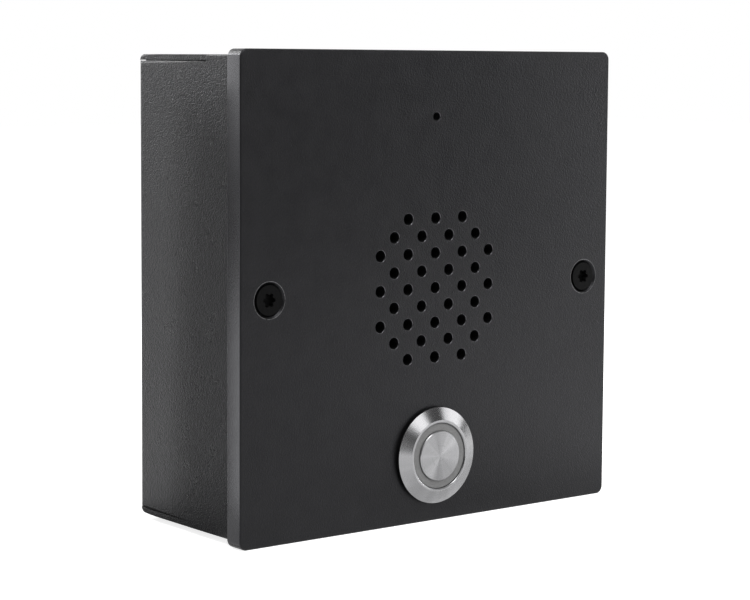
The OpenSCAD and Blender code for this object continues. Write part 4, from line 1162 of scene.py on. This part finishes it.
def studio_card(name, target, turn, rise, distance, width, height, level):
    """A flat card that looks at the target; only reflections show it, at this level."""
    clear_selection()
    towards = bearing(turn, rise)
    bpy.ops.mesh.primitive_plane_add(
        size=1, location=target + towards * distance, rotation=towards.to_track_quat("Z", "Y").to_euler())
    card = bpy.context.object
    card.name = card.data.name = name
    card.scale = (width, height, 1)
    material = bpy.data.materials.new(name)
    material.use_nodes = True
    shader = material.node_tree.nodes["Principled BSDF"]
    shader.inputs["Base Color"].default_value = (0, 0, 0, 1)
    shader.inputs["Specular IOR Level"].default_value = 0.0
    shader.inputs["Emission Color"].default_value = (level, level, level, 1)
    shader.inputs["Emission Strength"].default_value = 1.0
    card.data.materials.append(material)
    for ray in ("camera", "diffuse", "transmission", "shadow", "volume_scatter"):
        setattr(card, "visible_" + ray, False)


BUTTON_FACE = at(0, BUTTON_UP, PLATE_FRONT + 2)
PANEL_MIDDLE = at(0, 0, 25)
LEFT_EDGE = at(-BOX_HALF, 0, PLATE_FRONT)
LEFT_WALL = at(-BOX_HALF, 0, 5)

# Name, target, turn and rise in degrees, distance, width and height in metres, level
LAMPS = (
    ("lamp_key", PANEL_MIDDLE, -18.0, 61.0, 0.9, 0.42, 0.42, 9.0),
    ("lamp_front_high", BUTTON_FACE, 14.0, 23.5, 0.7, 0.22, 0.22, 3.0),
    ("lamp_right", BUTTON_FACE, 64.0, 16.0, 0.7, 0.26, 0.44, 2.9),
    ("lamp_right_low", BUTTON_FACE, 57.0, 3.0, 0.7, 0.06, 0.10, 10.0),
    ("lamp_rear_high", PANEL_MIDDLE, 196.0, 28.0, 0.7, 0.35, 0.15, 12.0),
    ("lamp_rear_left", LEFT_WALL, 205.0, 18.8, 0.232, 0.145, 0.08, 1.05),
)
CARDS = (
    ("card_twelve", BUTTON_FACE, 38.5, 24.5, 0.6, 0.21, 0.22, 0.07),
    ("card_ten", BUTTON_FACE, 1.0, 7.2, 0.35, 0.115, 0.145, 0.01),
    ("card_two", BUTTON_FACE, 74.0, 5.5, 0.6, 0.16, 0.055, 0.02),
    ("card_face_middle", BUTTON_FACE, 42.5, 23.5, 0.15, 0.045, 0.072, 0.05),
    ("card_right_high", BUTTON_FACE, 42.0, 14.0, 0.78, 0.7, 0.26, 0.3),
    ("card_low_rear", LEFT_EDGE, 213.5, 0.3, 0.303, 0.3, 0.063, 0.38),
    ("card_left_near", at(-76.2, -5, 12), 180.0, 0.0, 0.0, 0.0178, 0.116, 0.12),
    # Painted shadow: two dark cards lying on the floor, by the plate's lower left end and under the box,
    # darken the floor in reflections where its contact shadow falls.
    ("painted_shadow_left_floor", at(-78, -63.2, 27), 0.0, 90.0, 0.0, 0.03, 0.045, 0.65),
    ("painted_shadow_under_box", at(-3, -63.1, 14), 0.0, 90.0, 0.0, 0.13, 0.044, 0.2),
    # Painted reflections: two bright cards on the floor, before the button and to the right, make the floor
    # brighter there in reflections only.
    ("card_front_floor", at(18, -63.2, 70), 0.0, 90.0, 0.0, 0.055, 0.03, 1.15),
    ("card_right_floor", at(142, -63.2, 130), 0.0, 90.0, 0.0, 0.115, 0.12, 2.7),
    ("card_camera_side", LEFT_EDGE, -52.0, 2.0, 0.8, 0.7, 0.7, 0.05),
)

set_camera()
set_world(0.35)
set_floor()
for lamp in LAMPS:
    soft_lamp(*lamp)
for card in CARDS:
    studio_card(*card)

bpy.context.scene.view_settings.view_transform = "Standard"
